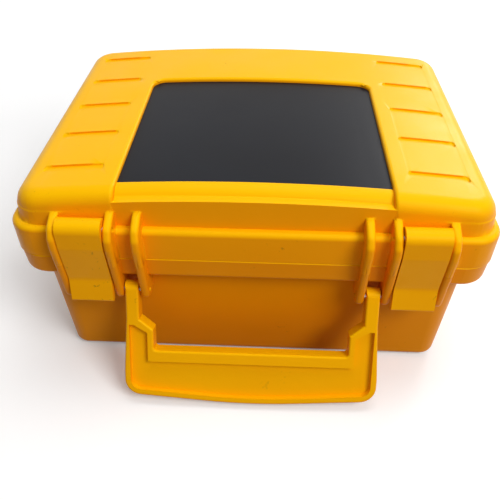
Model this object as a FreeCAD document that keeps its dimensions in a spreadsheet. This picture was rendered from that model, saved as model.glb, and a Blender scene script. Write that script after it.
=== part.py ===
import FreeCAD, Part
import math
import os
import re
import Sketcher

# Portable electrical safety tester in a moulded carrying case, in millimetres.
# X runs along the case, -Y is the front with the handle and latches, +Z is up.
# The origin is under the middle of the case, on the surface that it stands on.

SIZES = {
    # Case: hull below, flange round the rim, lid collar and dome above
    "case_length": 270.0,          # over the lid's collar
    "case_width": 210.6,
    "case_height": 134.4,
    "case_corner": 16.0,           # plan radius of the collar
    "parting_z": 91.0,             # where lid and base meet
    "lip_height": 19.7,            # top of the collar above the parting plane
    "wall": 3.0,
    "foot_height": 1.2,            # how far the feet hold the hull up
    # Hull of the base
    "hull_inset": 10.1,            # from the flange's outer face to the hull's wall
    "hull_draft": 4.0,             # degrees
    "hull_corner": 15.0,
    "hull_edge_round": 5.0,
    "floor_thickness": 3.3,
    # Flange round the base's rim
    "flange_height": 14.0,         # parting plane down to the flange's underside
    "flange_draft": 5.0,           # degrees
    "flange_inset": 1.6,           # narrower than the collar at its underside
    "flange_edge_round": 3.0,
    "parting_chamfer": 0.5,
    # Tongue on the base's rim, inside the lid
    "tongue_inset": 5.0,           # from the collar's outer face
    "tongue_width": 2.5,
    "tongue_height": 3.0,
    "panel_sink": 11.0,            # parting plane down to the ledge that carries the panel
    # Collar and dome of the lid
    "collar_draft": 1.2,           # degrees
    "collar_wall": 3.7,
    "lip_round": 3.2,
    "dome_inset": 3.4,             # from the collar's outer face
    "dome_draft": 4.0,             # degrees
    "dome_edge_round": 9.0,
    "gasket_seat_height": 6.2,     # ledge in the lid that carries the seal
    "dome_wall": 3.2,
    "lid_top": 6.4,                # lid's top down to its ceiling
    # Channel down the middle of the lid, and the plate in it
    "channel_drop": 2.4,           # lid's top down to the channel's floor
    "channel_run": 65.9,           # case's back to the channel's end
    "channel_front_inset": 7.5,    # front wall of the dome inside the channel, at the lip
    "channel_corner": 8.0,
    "plate_front_inset": 18.3,
    "plate_pocket": 1.2,
    "plate_thickness": 1.1,
    "plate_gap": 0.15,
    # Grooves across the lid's top, five each side
    "groove_end_inset": 16.7,
    "groove_start": 9.7,            # from the channel's side
    "groove_width": 3.4,
    "groove_depth": 1.3,
    "groove_front_inset": 31.6,
    "groove_pitch": 38.0,
    "groove_count": 5,
    # Ribs on the front, three each side, split at the parting plane
    "rib_thickness": 4.8,
    "rib_outer_inset": 28.6,       # rib middles, from the collar's ends
    "rib_middle_inset": 58.5,
    "rib_inner_inset": 73.1,
    "rib_knee_out": 9.7,           # front of the rib at its knee, before the collar
    "rib_foot_out": 2.3,           # front of the rib at its foot
    "rib_foot_drop": 29.2,
    "rib_foot_round": 5.5,
    "rib_knee_low": 13.0,          # heights of the rib's bends above the parting plane
    "rib_knee_high": 19.0,
    "rib_shoulder_out": 6.7,
    "rib_shoulder_high": 25.0,
    "rib_head_inset": 1.3,
    "rib_head_high": 29.2,
    "rib_top_high": 31.4,
    "rib_bend": 6.0,               # radius of the rib's bends
    "rib_edge_round": 2.1,
    "rib_root": 1.5,               # how deep a rib's root lies in the wall
    # Latches
    "latch_pin_out": 3.0,
    "latch_pin_high": 22.6,
    "latch_pin_radius": 1.5,
    "latch_barrel": 6.2,
    "latch_barrel_gap": 0.4,
    "latch_side_gap": 0.4,
    "latch_face_out": 8.9,         # front of the plate under its barrel
    "latch_waist_out": 4.5,        # front of the plate at its waist
    "latch_waist_drop": 12.0,
    "latch_lip_out": 7.3,          # front of the finger lip
    "latch_lip_drop": 26.8,
    "latch_plate": 3.2,
    "latch_bend": 9.0,
    "hook_reach": 3.6,             # how far the hook goes in under the flange
    "hook_gap": 0.4,
    "hook_thickness": 3.2,
    "pin_recess": 0.8,             # how far a pin's end lies inside its hole
    "pin_blind": 3.4,              # depth of a pin's blind end
    "running_gap": 0.05,
    # Carrying handle
    "handle_pin_inset": 1.5,
    "handle_pin_drop": 23.5,
    "handle_pin_radius": 1.6,
    "handle_tilt": 23.5,           # degrees from hanging straight down
    "handle_thickness": 10.0,
    "handle_side_gap": 0.8,        # between the arm and the middle rib
    "handle_arm": 7.8,             # arm's width at the pin
    "handle_arm_end": 17.6,        # down to where the arm widens
    "handle_palm_step": 8.1,        # from the arm to the side of the hand opening
    "handle_knee": 24.2,
    "handle_grip_top": 37.4,
    "handle_rim": 3.6,
    "handle_grip_rim": 7.0,
    "handle_shoulder": 52.0,
    "handle_flare": 2.1,
    "handle_corner": 10.0,
    "handle_end": 71.6,
    "handle_end_side": 66.4,
    "handle_end_bow": 400.0,       # radius of the grip's bowed lower edge
    "handle_recess": 3.5,
    "handle_edge_round": 1.3,
    # Rear hinges
    "hinge_inset": 63.0,
    "hinge_out": 7.2,              # pin's distance behind the collar
    "hinge_barrel": 5.5,
    "hinge_pin_radius": 2.0,
    "hinge_length": 44.0,
    "hinge_lid_length": 22.0,
    "hinge_gap": 0.5,
    "hinge_web": 12.0,             # height of the web that carries a barrel
    # Feet
    "foot_radius": 7.0,
    "foot_end_inset": 37.0,
    "foot_side_inset": 37.3,
    "foot_pocket": 1.0,
    # Gasket
    "gasket_gap": 0.3,
    # Instrument panel and its screws
    "panel_thickness": 3.0,
    "panel_gap": 0.5,
    "boss_radius": 4.6,
    "boss_end_inset": 23.0,
    "boss_side_inset": 23.3,
    "boss_middle_inset": 21.8,
    "boss_root": 0.5,              # how deep a boss's root lies in the floor
    "screw_radius": 1.5,
    "screw_length": 14.0,
    "screw_head_radius": 3.4,
    "screw_head_height": 2.2,
    # Mains outlet on the panel
    "outlet_inset": 65.0,          # outlet and inlet, from the panel's left end
    "outlet_y": -30.0,
    "outlet_plate": 66.0,
    "outlet_plate_thickness": 4.0,
    "outlet_body": 52.0,
    "outlet_depth": 24.0,
    "outlet_gap": 0.3,
    "outlet_pin_pitch": 22.2,      # earth slot above the other two
    "outlet_half_pitch": 11.1,
    "outlet_slot_wide": 7.4,
    "outlet_slot_high": 5.0,
    "outlet_earth_wide": 5.0,
    "outlet_earth_high": 9.2,
    "outlet_slot_depth": 20.0,
    # Mains inlet on the panel
    "inlet_y": 58.0,
    "inlet_flange_length": 50.0,
    "inlet_flange_width": 30.0,
    "inlet_flange_thickness": 3.0,
    "inlet_body_length": 30.0,
    "inlet_body_width": 22.0,
    "inlet_depth": 24.0,
    "inlet_mouth_length": 24.4,
    "inlet_mouth_width": 16.2,
    "inlet_mouth_depth": 17.0,
    "inlet_pin_pitch": 7.0,
    "inlet_pin_thick": 2.0,
    "inlet_pin_wide": 4.0,
    "inlet_pin_length": 15.0,
    "inlet_earth_shift": 2.0,
    # Fuse holders
    "fuse_x": -20.0,
    "fuse_back_y": 70.0,
    "fuse_pitch": 26.0,
    "fuse_cap_radius": 7.5,
    "fuse_cap_height": 7.0,
    "fuse_body_radius": 6.2,
    "fuse_body_length": 26.0,
    # Display
    "display_inset": 83.0,         # display, knob and keys, from the right end
    "display_y": 52.0,
    "bezel_length": 92.0,
    "bezel_width": 42.0,
    "bezel_thickness": 2.5,
    "window_length": 76.0,
    "window_width": 26.0,
    "window_rim": 2.0,
    "module_length": 88.0,
    "module_width": 38.0,
    "module_thickness": 9.0,
    # Selector switch and knob
    "knob_y": -22.0,
    "knob_radius": 17.0,
    "knob_skirt_radius": 20.0,
    "knob_skirt_height": 3.0,
    "knob_height": 16.0,
    "knob_grips": 12,
    "knob_grip_radius": 2.2,
    "knob_gap": 0.3,
    "selector_shaft_radius": 3.0,
    "selector_radius": 13.0,
    "selector_depth": 18.0,
    # Push buttons
    "key_pitch": 22.0,
    "key_y": -68.0,
    "key_radius": 6.5,
    "key_rise": 3.5,               # top of the key above the panel
    "key_travel": 2.0,
    "key_gap": 0.3,
    "key_collar_radius": 7.8,
    "key_collar_height": 1.6,
    "key_stem_radius": 2.4,
    "key_stem_length": 9.0,
    "key_switch_side": 14.0,
    "key_switch_height": 9.0,
    "key_board_length": 74.0,
    "key_board_width": 22.0,
    "key_post_radius": 3.0,
    # Signal lamps
    "lamp_y": 14.0,
    "lamp_pitch": 14.0,
    "lamp_radius": 2.5,
    "lamp_flange": 0.8,
    "lamp_length": 9.0,
    # Test terminals
    "terminal_inset": 31.0,
    "terminal_front_y": -52.0,
    "terminal_pitch": 30.0,
    "terminal_radius": 8.5,
    "terminal_rise": 7.0,
    "terminal_mouth": 5.4,
    "terminal_neck": 6.2,
    "terminal_depth": 22.0,
    "sleeve_radius": 3.0,
    "sleeve_bore": 2.03,           # takes a 4 mm plug
    "sleeve_drop": 3.0,            # sleeve's mouth below the shroud's
    "sleeve_length": 24.0,
    # Circuit board and what stands on it
    "board_left_x": -13.0,
    "board_right_inset": 30.0,
    "board_y": 0.0,
    "board_width": 144.0,
    "board_thickness": 1.6,
    "standoff_radius": 3.5,
    "standoff_height": 10.0,
    "standoff_inset": 6.0,
    "board_screw_radius": 2.8,
    "board_screw_height": 2.0,
    "relay_length": 28.0,
    "relay_width": 12.6,
    "relay_height": 16.0,
    "relay_inset": 23.0,
    "relay_front_y": -48.0,
    "relay_pitch": 20.0,
    "relay_count": 4,
    "capacitor_radius": 8.0,
    "capacitor_height": 30.0,
    "capacitor_inset": 21.0,
    "capacitor_front_y": 20.0,
    "capacitor_pitch": 20.0,
    "chip_side": 16.0,
    "chip_height": 2.4,
    "chip_inset": 43.0,
    "chip_front_y": -40.0,
    "chip_pitch": 26.0,
    # Test transformer
    "transformer_gap": 0.6,        # bracket's end to the hull's wall
    "transformer_y": 46.0,
    "core_length": 66.0,
    "core_width": 24.0,
    "core_height": 46.0,
    "core_limb": 11.0,
    "winding_width": 44.0,
    "winding_gap": 0.5,
    "bracket_thickness": 1.5,
    "bracket_ear": 11.0,
}

# Places and sizes that follow from the ones above, as the sheet's formulas
FOLLOWING = {
    "lip_z": "parting_z + lip_height",
    "flange_z": "parting_z - flange_height",
    "panel_seat_z": "parting_z - panel_sink",
    "gasket_seat_z": "parting_z + gasket_seat_height",
    "lid_ceiling_z": "case_height - lid_top",
    "channel_floor_z": "case_height - channel_drop",
    "channel_back_y": "case_width / 2 - channel_run",
    "channel_front_y": "case_width / 2 - channel_front_inset",
    "plate_front_y": "case_width / 2 - plate_front_inset",
    "groove_outer_x": "case_length / 2 - groove_end_inset",
    "groove_front_y": "case_width / 2 - groove_front_inset",
    "rib_outer_x": "case_length / 2 - rib_outer_inset",
    "rib_middle_x": "case_length / 2 - rib_middle_inset",
    "rib_inner_x": "case_length / 2 - rib_inner_inset",
    "rib_reach": "case_width / 2 + rib_knee_out",
    "rib_foot_reach": "case_width / 2 + rib_foot_out",
    "rib_foot_z": "parting_z - rib_foot_drop",
    "rib_knee_low_z": "parting_z + rib_knee_low",
    "rib_knee_high_z": "parting_z + rib_knee_high",
    "rib_shoulder_y": "case_width / 2 + rib_shoulder_out",
    "rib_shoulder_z": "parting_z + rib_shoulder_high",
    "rib_head_y": "case_width / 2 - rib_head_inset",
    "rib_head_z": "parting_z + rib_head_high",
    "rib_top_z": "parting_z + rib_top_high",
    "latch_pin_y": "case_width / 2 + latch_pin_out",
    "latch_pin_z": "parting_z + latch_pin_high",
    "latch_face_y": "case_width / 2 + latch_face_out",
    "latch_waist_y": "case_width / 2 + latch_waist_out",
    "latch_waist_z": "parting_z - latch_waist_drop",
    "latch_lip_y": "case_width / 2 + latch_lip_out",
    "latch_lip_z": "parting_z - latch_lip_drop",
    "handle_pin_y": "case_width / 2 - handle_pin_inset",
    "handle_pin_z": "parting_z - handle_pin_drop",
    "hinge_x": "case_length / 2 - hinge_inset",
    "foot_x": "case_length / 2 - foot_end_inset",
    "foot_y": "case_width / 2 - foot_side_inset",
    "boss_x": "case_length / 2 - boss_end_inset",
    "boss_y": "case_width / 2 - boss_side_inset",
    "boss_middle_y": "case_width / 2 - boss_middle_inset",
    "outlet_x": "outlet_inset - case_length / 2",
    "display_x": "case_length / 2 - display_inset",
    "terminal_x": "case_length / 2 - terminal_inset",
    "channel_half": "rib_middle_x - rib_thickness / 2",
    "groove_inner_x": "channel_half + groove_start",
    "handle_knee_half": "channel_half - handle_side_gap - handle_arm - handle_palm_step",
    "inlet_x": "outlet_x",
    "knob_x": "display_x",
    "key_x": "display_x",
    "board_right_x": "case_length / 2 - board_right_inset",
    "board_length": "board_right_x - board_left_x",
    "board_x": "(board_left_x + board_right_x) / 2",
    "relay_x": "board_left_x + relay_inset",
    "capacitor_x": "board_right_x - capacitor_inset",
    "chip_x": "board_right_x - chip_inset",
    "hull_floor_x": "case_length / 2 - hull_inset - wall - (flange_z - foot_height) * tan(hull_draft * 1deg)",
    "transformer_x": "transformer_gap + bracket_ear + core_length / 2 - hull_floor_x",
}

WORDS = {"deg", "tan", "sin", "cos", "sqrt", "min", "max"}

doc = FreeCAD.newDocument("safety_tester")
sheet = doc.addObject("Spreadsheet::Sheet", "sizes")
for row, alias in enumerate([*SIZES, *FOLLOWING], start=1):
    sheet.set(f"A{row}", alias)
    sheet.setAlias(f"B{row}", alias)
    sheet.set(f"B{row}", str(SIZES[alias]) if alias in SIZES else f"={FOLLOWING[alias]}")
doc.recompute()


# ---------------------------------------------------------------- helpers

def cells(text):
    """Give an expression whose size names point at the sheet."""
    return re.sub(r"[A-Za-z_]\w*", lambda word: word.group() if word.group() in WORDS else "sizes." + word.group(),
                  text)


def size(text):
    """Give an expression's value now."""
    result = sheet.evalExpression(cells(text))
    return float(getattr(result, "Value", result))


def bind(item, **properties):
    """Bind properties of an object to expressions."""
    for name, text in properties.items():
        item.setExpression(name.replace("__", "."), cells(text))


def origin_plane(body, role):
    return next(plane for plane in body.Origin.OriginFeatures if plane.Role == role)


def new_body(label):
    body = doc.addObject("PartDesign::Body", label)
    body.Label = label
    return body


def new_sketch(body, name, role="XY_Plane", offset="0"):
    """Sketch on an origin plane of its body, moved along the plane's normal."""
    sketch = body.newObject("Sketcher::SketchObject", name)
    sketch.AttachmentSupport = (origin_plane(body, role), [""])
    sketch.MapMode = "FlatFace"
    bind(sketch, AttachmentOffset__Base__z=offset)
    return sketch


def place_point(sketch, geometry, point, across, up):
    """Hold a point at two distances from the sketch's origin."""
    for kind, text in (("DistanceX", across), ("DistanceY", up)):
        number = sketch.addConstraint(Sketcher.Constraint(kind, -1, 1, geometry, point, size(text)))
        sketch.setExpression(f"Constraints[{number}]", cells(text))


def add_circle(sketch, across, up, radius):
    circle = Part.Circle(FreeCAD.Vector(size(across), size(up), 0), FreeCAD.Vector(0, 0, 1), size(radius))
    geometry = sketch.addGeometry(circle, False)
    number = sketch.addConstraint(Sketcher.Constraint("Radius", geometry, size(radius)))
    sketch.setExpression(f"Constraints[{number}]", cells(radius))
    place_point(sketch, geometry, 3, across, up)


def add_corner_arc(sketch, corner, toward_last, toward_next, radius, before, after):
    """Round one corner of an outline, and hold the corner by a construction point."""
    half_angle = toward_last.getAngle(toward_next) / 2
    middle = toward_last + toward_next
    middle.normalize()
    centre = corner + middle * (size(radius) / math.sin(half_angle))
    run = size(radius) / math.tan(half_angle)
    first = corner + toward_last * run - centre
    last = corner + toward_next * run - centre
    forward = first.cross(last).z > 0
    angles = [math.atan2(first.y, first.x), math.atan2(last.y, last.x)]
    if not forward:
        angles.reverse()
    circle = Part.Circle(centre, FreeCAD.Vector(0, 0, 1), size(radius))
    arc = sketch.addGeometry(Part.ArcOfCircle(circle, *angles), False)
    point = sketch.addGeometry(Part.Point(corner), True)
    start, end = (1, 2) if forward else (2, 1)
    sketch.addConstraint(Sketcher.Constraint("Tangent", before, 2, arc, start))
    sketch.addConstraint(Sketcher.Constraint("Tangent", arc, end, after, 1))
    number = sketch.addConstraint(Sketcher.Constraint("Radius", arc, size(radius)))
    sketch.setExpression(f"Constraints[{number}]", cells(radius))
    sketch.addConstraint(Sketcher.Constraint("PointOnObject", point, 1, before))
    sketch.addConstraint(Sketcher.Constraint("PointOnObject", point, 1, after))
    return point


def add_outline(sketch, corners):
    """Closed outline through corners given as expressions: (across, up) or (across, up, radius)."""
    points = [FreeCAD.Vector(size(corner[0]), size(corner[1]), 0) for corner in corners]
    radii = [corner[2] if len(corner) > 2 else None for corner in corners]
    count = len(points)
    to_next = []
    to_last = []
    for index, point in enumerate(points):
        to_next.append((points[(index + 1) % count] - point).normalize())
        to_last.append((points[index - 1] - point).normalize())
    runs = []
    for index, radius in enumerate(radii):
        half_angle = to_last[index].getAngle(to_next[index]) / 2
        runs.append(size(radius) / math.tan(half_angle) if radius else 0)
    lines = []
    for index, point in enumerate(points):
        following = (index + 1) % count
        start = point + to_next[index] * runs[index]
        end = points[following] + to_last[following] * runs[following]
        lines.append(sketch.addGeometry(Part.LineSegment(start, end), False))
    for index, point in enumerate(points):
        before, after = lines[index - 1], lines[index]
        if radii[index]:
            held = add_corner_arc(sketch, point, to_last[index], to_next[index], radii[index], before, after)
        else:
            sketch.addConstraint(Sketcher.Constraint("Coincident", before, 2, after, 1))
            held = after
        place_point(sketch, held, 1, corners[index][0], corners[index][1])


def add_rectangle(sketch, half_x, half_y, radius=None, x="0", y="0"):
    """Rectangle about a centre, with rounded corners if a radius is given."""
    corners = []
    for side_x, side_y in (("-", "-"), ("+", "-"), ("+", "+"), ("-", "+")):
        corner = (f"{x} {side_x} ({half_x})", f"{y} {side_y} ({half_y})")
        corners.append(corner + (radius,) if radius else corner)
    add_outline(sketch, corners)


def finish_feature(body, feature, smaller=None):
    """Make a feature the body's tip and see that it added or removed material."""
    before = body.Shape.Volume if not body.Shape.isNull() else 0.0
    body.Tip = feature
    doc.recompute()
    if "Invalid" in feature.State or body.Shape.isNull():
        raise ValueError(f"{feature.Name} of {body.Label} failed")
    if smaller is not None and (body.Shape.Volume < before) != smaller:
        raise ValueError(f"{feature.Name} did not change {body.Label} as it should")
    return feature


def pad(body, sketch, name, length, taper="0", symmetric=False, reverse=False):
    feature = body.newObject("PartDesign::Pad", name)
    feature.Profile = sketch
    feature.Midplane = symmetric
    feature.Reversed = reverse
    bind(feature, Length=length, TaperAngle=taper)
    return finish_feature(body, feature, smaller=False)


def pocket(body, sketch, name, length, taper="0", symmetric=False, reverse=False):
    feature = body.newObject("PartDesign::Pocket", name)
    feature.Profile = sketch
    feature.Midplane = symmetric
    feature.Reversed = reverse
    bind(feature, Length=length, TaperAngle=taper)
    return finish_feature(body, feature, smaller=True)


def dress_edges(body, kind, name, amount, choose):
    """Fillet or chamfer the edges of the body's tip that choose picks by their middle and box."""
    solid = body.Tip
    names = []
    for number, edge in enumerate(solid.Shape.Edges, start=1):
        middle = edge.valueAt((edge.FirstParameter + edge.LastParameter) / 2)
        if choose(middle, edge.BoundBox):
            names.append(f"Edge{number}")
    feature = body.newObject(f"PartDesign::{kind}", name)
    feature.Base = (solid, names)
    bind(feature, **{"Radius" if kind == "Fillet" else "Size": amount})
    return finish_feature(body, feature)


def round_edges(body, name, radius, choose):
    return dress_edges(body, "Fillet", name, radius, choose)


def mirror(body, name, originals=None):
    """Mirror features, or the whole body so far, across the case's middle."""
    feature = body.newObject("PartDesign::Mirrored", name)
    if originals is None:
        feature.TransformMode = "Whole shape"
    else:
        feature.Originals = originals
    feature.MirrorPlane = (origin_plane(body, "YZ_Plane"), [""])
    return finish_feature(body, feature)


def near(value, text, room=0.05):
    return abs(value - size(text)) < room


def box(name, length, width, height, x, y, z):
    """Block centred on x and y that stands on z."""
    block = doc.addObject("Part::Box", name)
    bind(block, Length=length, Width=width, Height=height)
    bind(block, Placement__Base__x=f"{x} - ({length}) / 2", Placement__Base__y=f"{y} - ({width}) / 2",
         Placement__Base__z=z)
    return block


def cylinder(name, radius, height, x, y, z):
    """Upright cylinder that stands on z."""
    rod = doc.addObject("Part::Cylinder", name)
    bind(rod, Radius=radius, Height=height, Placement__Base__x=x, Placement__Base__y=y, Placement__Base__z=z)
    return rod


def cross_rod(name, radius, start_x, length, y, z):
    """Cylinder along +X."""
    rod = doc.addObject("Part::Cylinder", name)
    rod.Placement = FreeCAD.Placement(FreeCAD.Vector(), FreeCAD.Rotation(FreeCAD.Vector(0, 1, 0), 90))
    bind(rod, Radius=radius, Height=length, Placement__Base__x=start_x, Placement__Base__y=y, Placement__Base__z=z)
    return rod


def fuse(name, shapes):
    joined = doc.addObject("Part::MultiFuse", name)
    joined.Shapes = shapes
    joined.Label = name
    return joined


def cut(name, base, tool):
    rest = doc.addObject("Part::Cut", name)
    rest.Base = base
    rest.Tool = tool
    rest.Label = name
    return rest


def group(name, shapes):
    """Separate solids in one sub-part."""
    joined = doc.addObject("Part::Compound", name)
    joined.Links = shapes
    joined.Label = name
    return joined


def only(name, shape):
    """One solid as a sub-part under its own name."""
    shape.Label = name
    return shape


# Half sizes of the case in plan, as expressions in the sheet's names
COLLAR_X = "case_length / 2"
COLLAR_Y = "case_width / 2"
COLLAR_DROP = "(lip_z - parting_z) * tan(collar_draft * 1deg)"
FLANGE_TOP_X = f"({COLLAR_X} - {COLLAR_DROP})"
FLANGE_TOP_Y = f"({COLLAR_Y} - {COLLAR_DROP})"
FLANGE_DROP = "(parting_z - flange_z) * tan(flange_draft * 1deg)"
HULL_X = "(case_length / 2 - hull_inset)"
HULL_Y = "(case_width / 2 - hull_inset)"
PANEL_TOP = "(panel_seat_z + panel_thickness)"
FLOOR_TOP = "(foot_height + floor_thickness)"
RIB_SLOPE = "(rib_reach - rib_foot_reach) / (rib_knee_low_z - rib_foot_z)"
RIB_PARTING_Y = f"(rib_foot_reach + (parting_z - rib_foot_z) * {RIB_SLOPE})"
HINGE_Y = "(case_width / 2 + hinge_out)"
RIBS = ("rib_outer_x", "rib_middle_x", "rib_inner_x")
BOSS_POINTS = [(x, y) for x in ("-boss_x", "boss_x") for y in ("-boss_y", "boss_y")]
BOSS_POINTS += [("0", "-boss_middle_y"), ("0", "boss_middle_y")]
FOOT_POINTS = [(x, y) for x in ("-foot_x", "foot_x") for y in ("-foot_y", "foot_y")]
FOOT_POINTS += [("0", "0")]


# ---------------------------------------------------------------- base

def rib_face_edge(middle, extent):
    """Tell whether an edge lies in a side face of a rib."""
    for rib in RIBS:
        for side in ("-", "+"):
            if extent.XLength < 0.01 and near(middle.x, f"{rib} {side} rib_thickness / 2"):
                return True
    return False


def add_ribs(body, ribs, corners):
    """Pad ribs of one side from an outline in the YZ plane."""
    for rib in ribs:
        sketch = new_sketch(body, f"{body.Label}_{rib}", "YZ_Plane", rib)
        add_outline(sketch, corners)
        pad(body, sketch, f"{body.Label}_{rib}_pad", "rib_thickness", symmetric=True)


def add_barrels(body, name, starts, length, web):
    """Pad hinge barrels with the webs that carry them; starts are x positions of their near ends."""
    for number, start in enumerate(starts, start=1):
        sketch = new_sketch(body, f"{name}_web_{number}", "YZ_Plane", start)
        add_outline(sketch, web)
        pad(body, sketch, f"{name}_web_pad_{number}", length)
        sketch = new_sketch(body, f"{name}_{number}", "YZ_Plane", start)
        add_circle(sketch, HINGE_Y, "parting_z", "hinge_barrel")
        pad(body, sketch, f"{name}_pad_{number}", length)


def make_base_shell():
    """Lower half of the case: drafted hull, flange, sealing tongue, ribs, hinge barrels and screw bosses."""
    body = new_body("base_shell")
    sketch = new_sketch(body, "hull_outline", offset="flange_z")
    add_rectangle(sketch, HULL_X, HULL_Y, "hull_corner")
    pad(body, sketch, "hull", "flange_z - foot_height", taper="-hull_draft", reverse=True)
    round_edges(body, "hull_edge", "hull_edge_round", lambda middle, extent: near(extent.ZMax, "foot_height"))

    sketch = new_sketch(body, "flange_outline", offset="flange_z")
    add_rectangle(sketch, f"{FLANGE_TOP_X} - {FLANGE_DROP}", f"{FLANGE_TOP_Y} - {FLANGE_DROP}", "case_corner")
    pad(body, sketch, "flange", "parting_z - flange_z", taper="flange_draft")
    round_edges(body, "flange_edge", "flange_edge_round",
                lambda middle, extent: near(extent.ZMin, "flange_z") and near(extent.ZMax, "flange_z")
                and max(abs(middle.x) - size(HULL_X), abs(middle.y) - size(HULL_Y)) > size("hull_inset") / 2)
    dress_edges(body, "Chamfer", "flange_parting_edge", "parting_chamfer",
                lambda middle, extent: near(extent.ZMin, "parting_z"))

    sketch = new_sketch(body, "tongue_outline", offset="parting_z")
    add_rectangle(sketch, f"{COLLAR_X} - tongue_inset", f"{COLLAR_Y} - tongue_inset", "case_corner - tongue_inset")
    pad(body, sketch, "tongue", "tongue_height")

    tongue_inner_x = f"{COLLAR_X} - tongue_inset - tongue_width"
    tongue_inner_y = f"{COLLAR_Y} - tongue_inset - tongue_width"
    sketch = new_sketch(body, "panel_well_outline", offset="parting_z + tongue_height")
    add_rectangle(sketch, tongue_inner_x, tongue_inner_y, "case_corner - tongue_inset - tongue_width")
    pocket(body, sketch, "panel_well", "parting_z + tongue_height - panel_seat_z")
    sketch = new_sketch(body, "cavity_outline", offset="panel_seat_z")
    add_rectangle(sketch, f"{HULL_X} - wall", f"{HULL_Y} - wall", "hull_corner - wall")
    pocket(body, sketch, "cavity", f"panel_seat_z - {FLOOR_TOP}", taper="-hull_draft")

    sketch = new_sketch(body, "boss_outline", offset=f"{FLOOR_TOP} - boss_root")
    for x, y in BOSS_POINTS:
        add_circle(sketch, x, y, "boss_radius")
    pad(body, sketch, "bosses", f"panel_seat_z - {FLOOR_TOP} + boss_root")
    sketch = new_sketch(body, "boss_hole_outline", offset="panel_seat_z")
    for x, y in BOSS_POINTS:
        add_circle(sketch, x, y, "screw_radius")
    pocket(body, sketch, "boss_holes", "screw_length")

    sketch = new_sketch(body, "foot_pocket_outline", offset="foot_height")
    for x, y in FOOT_POINTS:
        add_circle(sketch, x, y, "foot_radius")
    pocket(body, sketch, "foot_pockets", "foot_pocket", reverse=True)

    add_ribs(body, RIBS, [
        (f"-({HULL_Y} - (flange_z - rib_foot_z) * tan(hull_draft * 1deg) - rib_root)", "rib_foot_z"),
        ("-rib_foot_reach", "rib_foot_z", "rib_foot_round"),
        (f"-{RIB_PARTING_Y}", "parting_z"),
        (f"-({FLANGE_TOP_Y} - rib_root)", "parting_z"),
    ])
    round_edges(body, "rib_edges", "rib_edge_round",
                lambda middle, extent: rib_face_edge(middle, extent)
                and (near(extent.ZMax, "rib_foot_z")
                     or extent.ZLength > 0.01 and middle.y < -size("rib_foot_reach - rib_foot_round / 2")))

    barrel_length = "(hinge_length - hinge_lid_length) / 2 - hinge_gap"
    add_barrels(body, "base_barrel",
                ["hinge_x - hinge_length / 2", "hinge_x + hinge_lid_length / 2 + hinge_gap"], barrel_length, [
                    (f"{FLANGE_TOP_Y} - rib_root", "parting_z - hinge_gap"),
                    (HINGE_Y, "parting_z - hinge_gap"),
                    (f"{HINGE_Y} + hinge_barrel * 0.7", "parting_z - hinge_barrel * 0.7"),
                    (f"{FLANGE_TOP_Y} - rib_root", "parting_z - hinge_web"),
                ])

    sketch = new_sketch(body, "handle_hole_outline", "YZ_Plane", "rib_inner_x - rib_thickness / 2")
    add_circle(sketch, "-handle_pin_y", "handle_pin_z", "handle_pin_radius")
    pocket(body, sketch, "handle_hole", "rib_middle_x - rib_inner_x + pin_blind", reverse=True)
    sketch = new_sketch(body, "hinge_hole_outline", "YZ_Plane", "hinge_x - hinge_length / 2")
    add_circle(sketch, HINGE_Y, "parting_z", "hinge_pin_radius")
    pocket(body, sketch, "hinge_hole", "hinge_length", reverse=True)
    mirror(body, "base_both_sides")
    return body


def make_feet():
    """Rubber feet set in the hull's underside: one near each corner and one in the middle."""
    feet = []
    for x, y in FOOT_POINTS:
        feet.append(cylinder("foot", "foot_radius", "foot_height + foot_pocket", x, y, "0"))
    return group("rubber_feet", feet)


def make_side_pins(name, radius, y, z, near_x, far_x):
    """Two steel pins, one each side, from the inner rib to the blind end."""
    length = f"{far_x} - ({near_x})"
    left = cross_rod(f"{name}_left", radius, f"-({far_x})", length, y, z)
    right = cross_rod(f"{name}_right", radius, near_x, length, y, z)
    return group(name, [left, right])


# ---------------------------------------------------------------- lid

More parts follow.
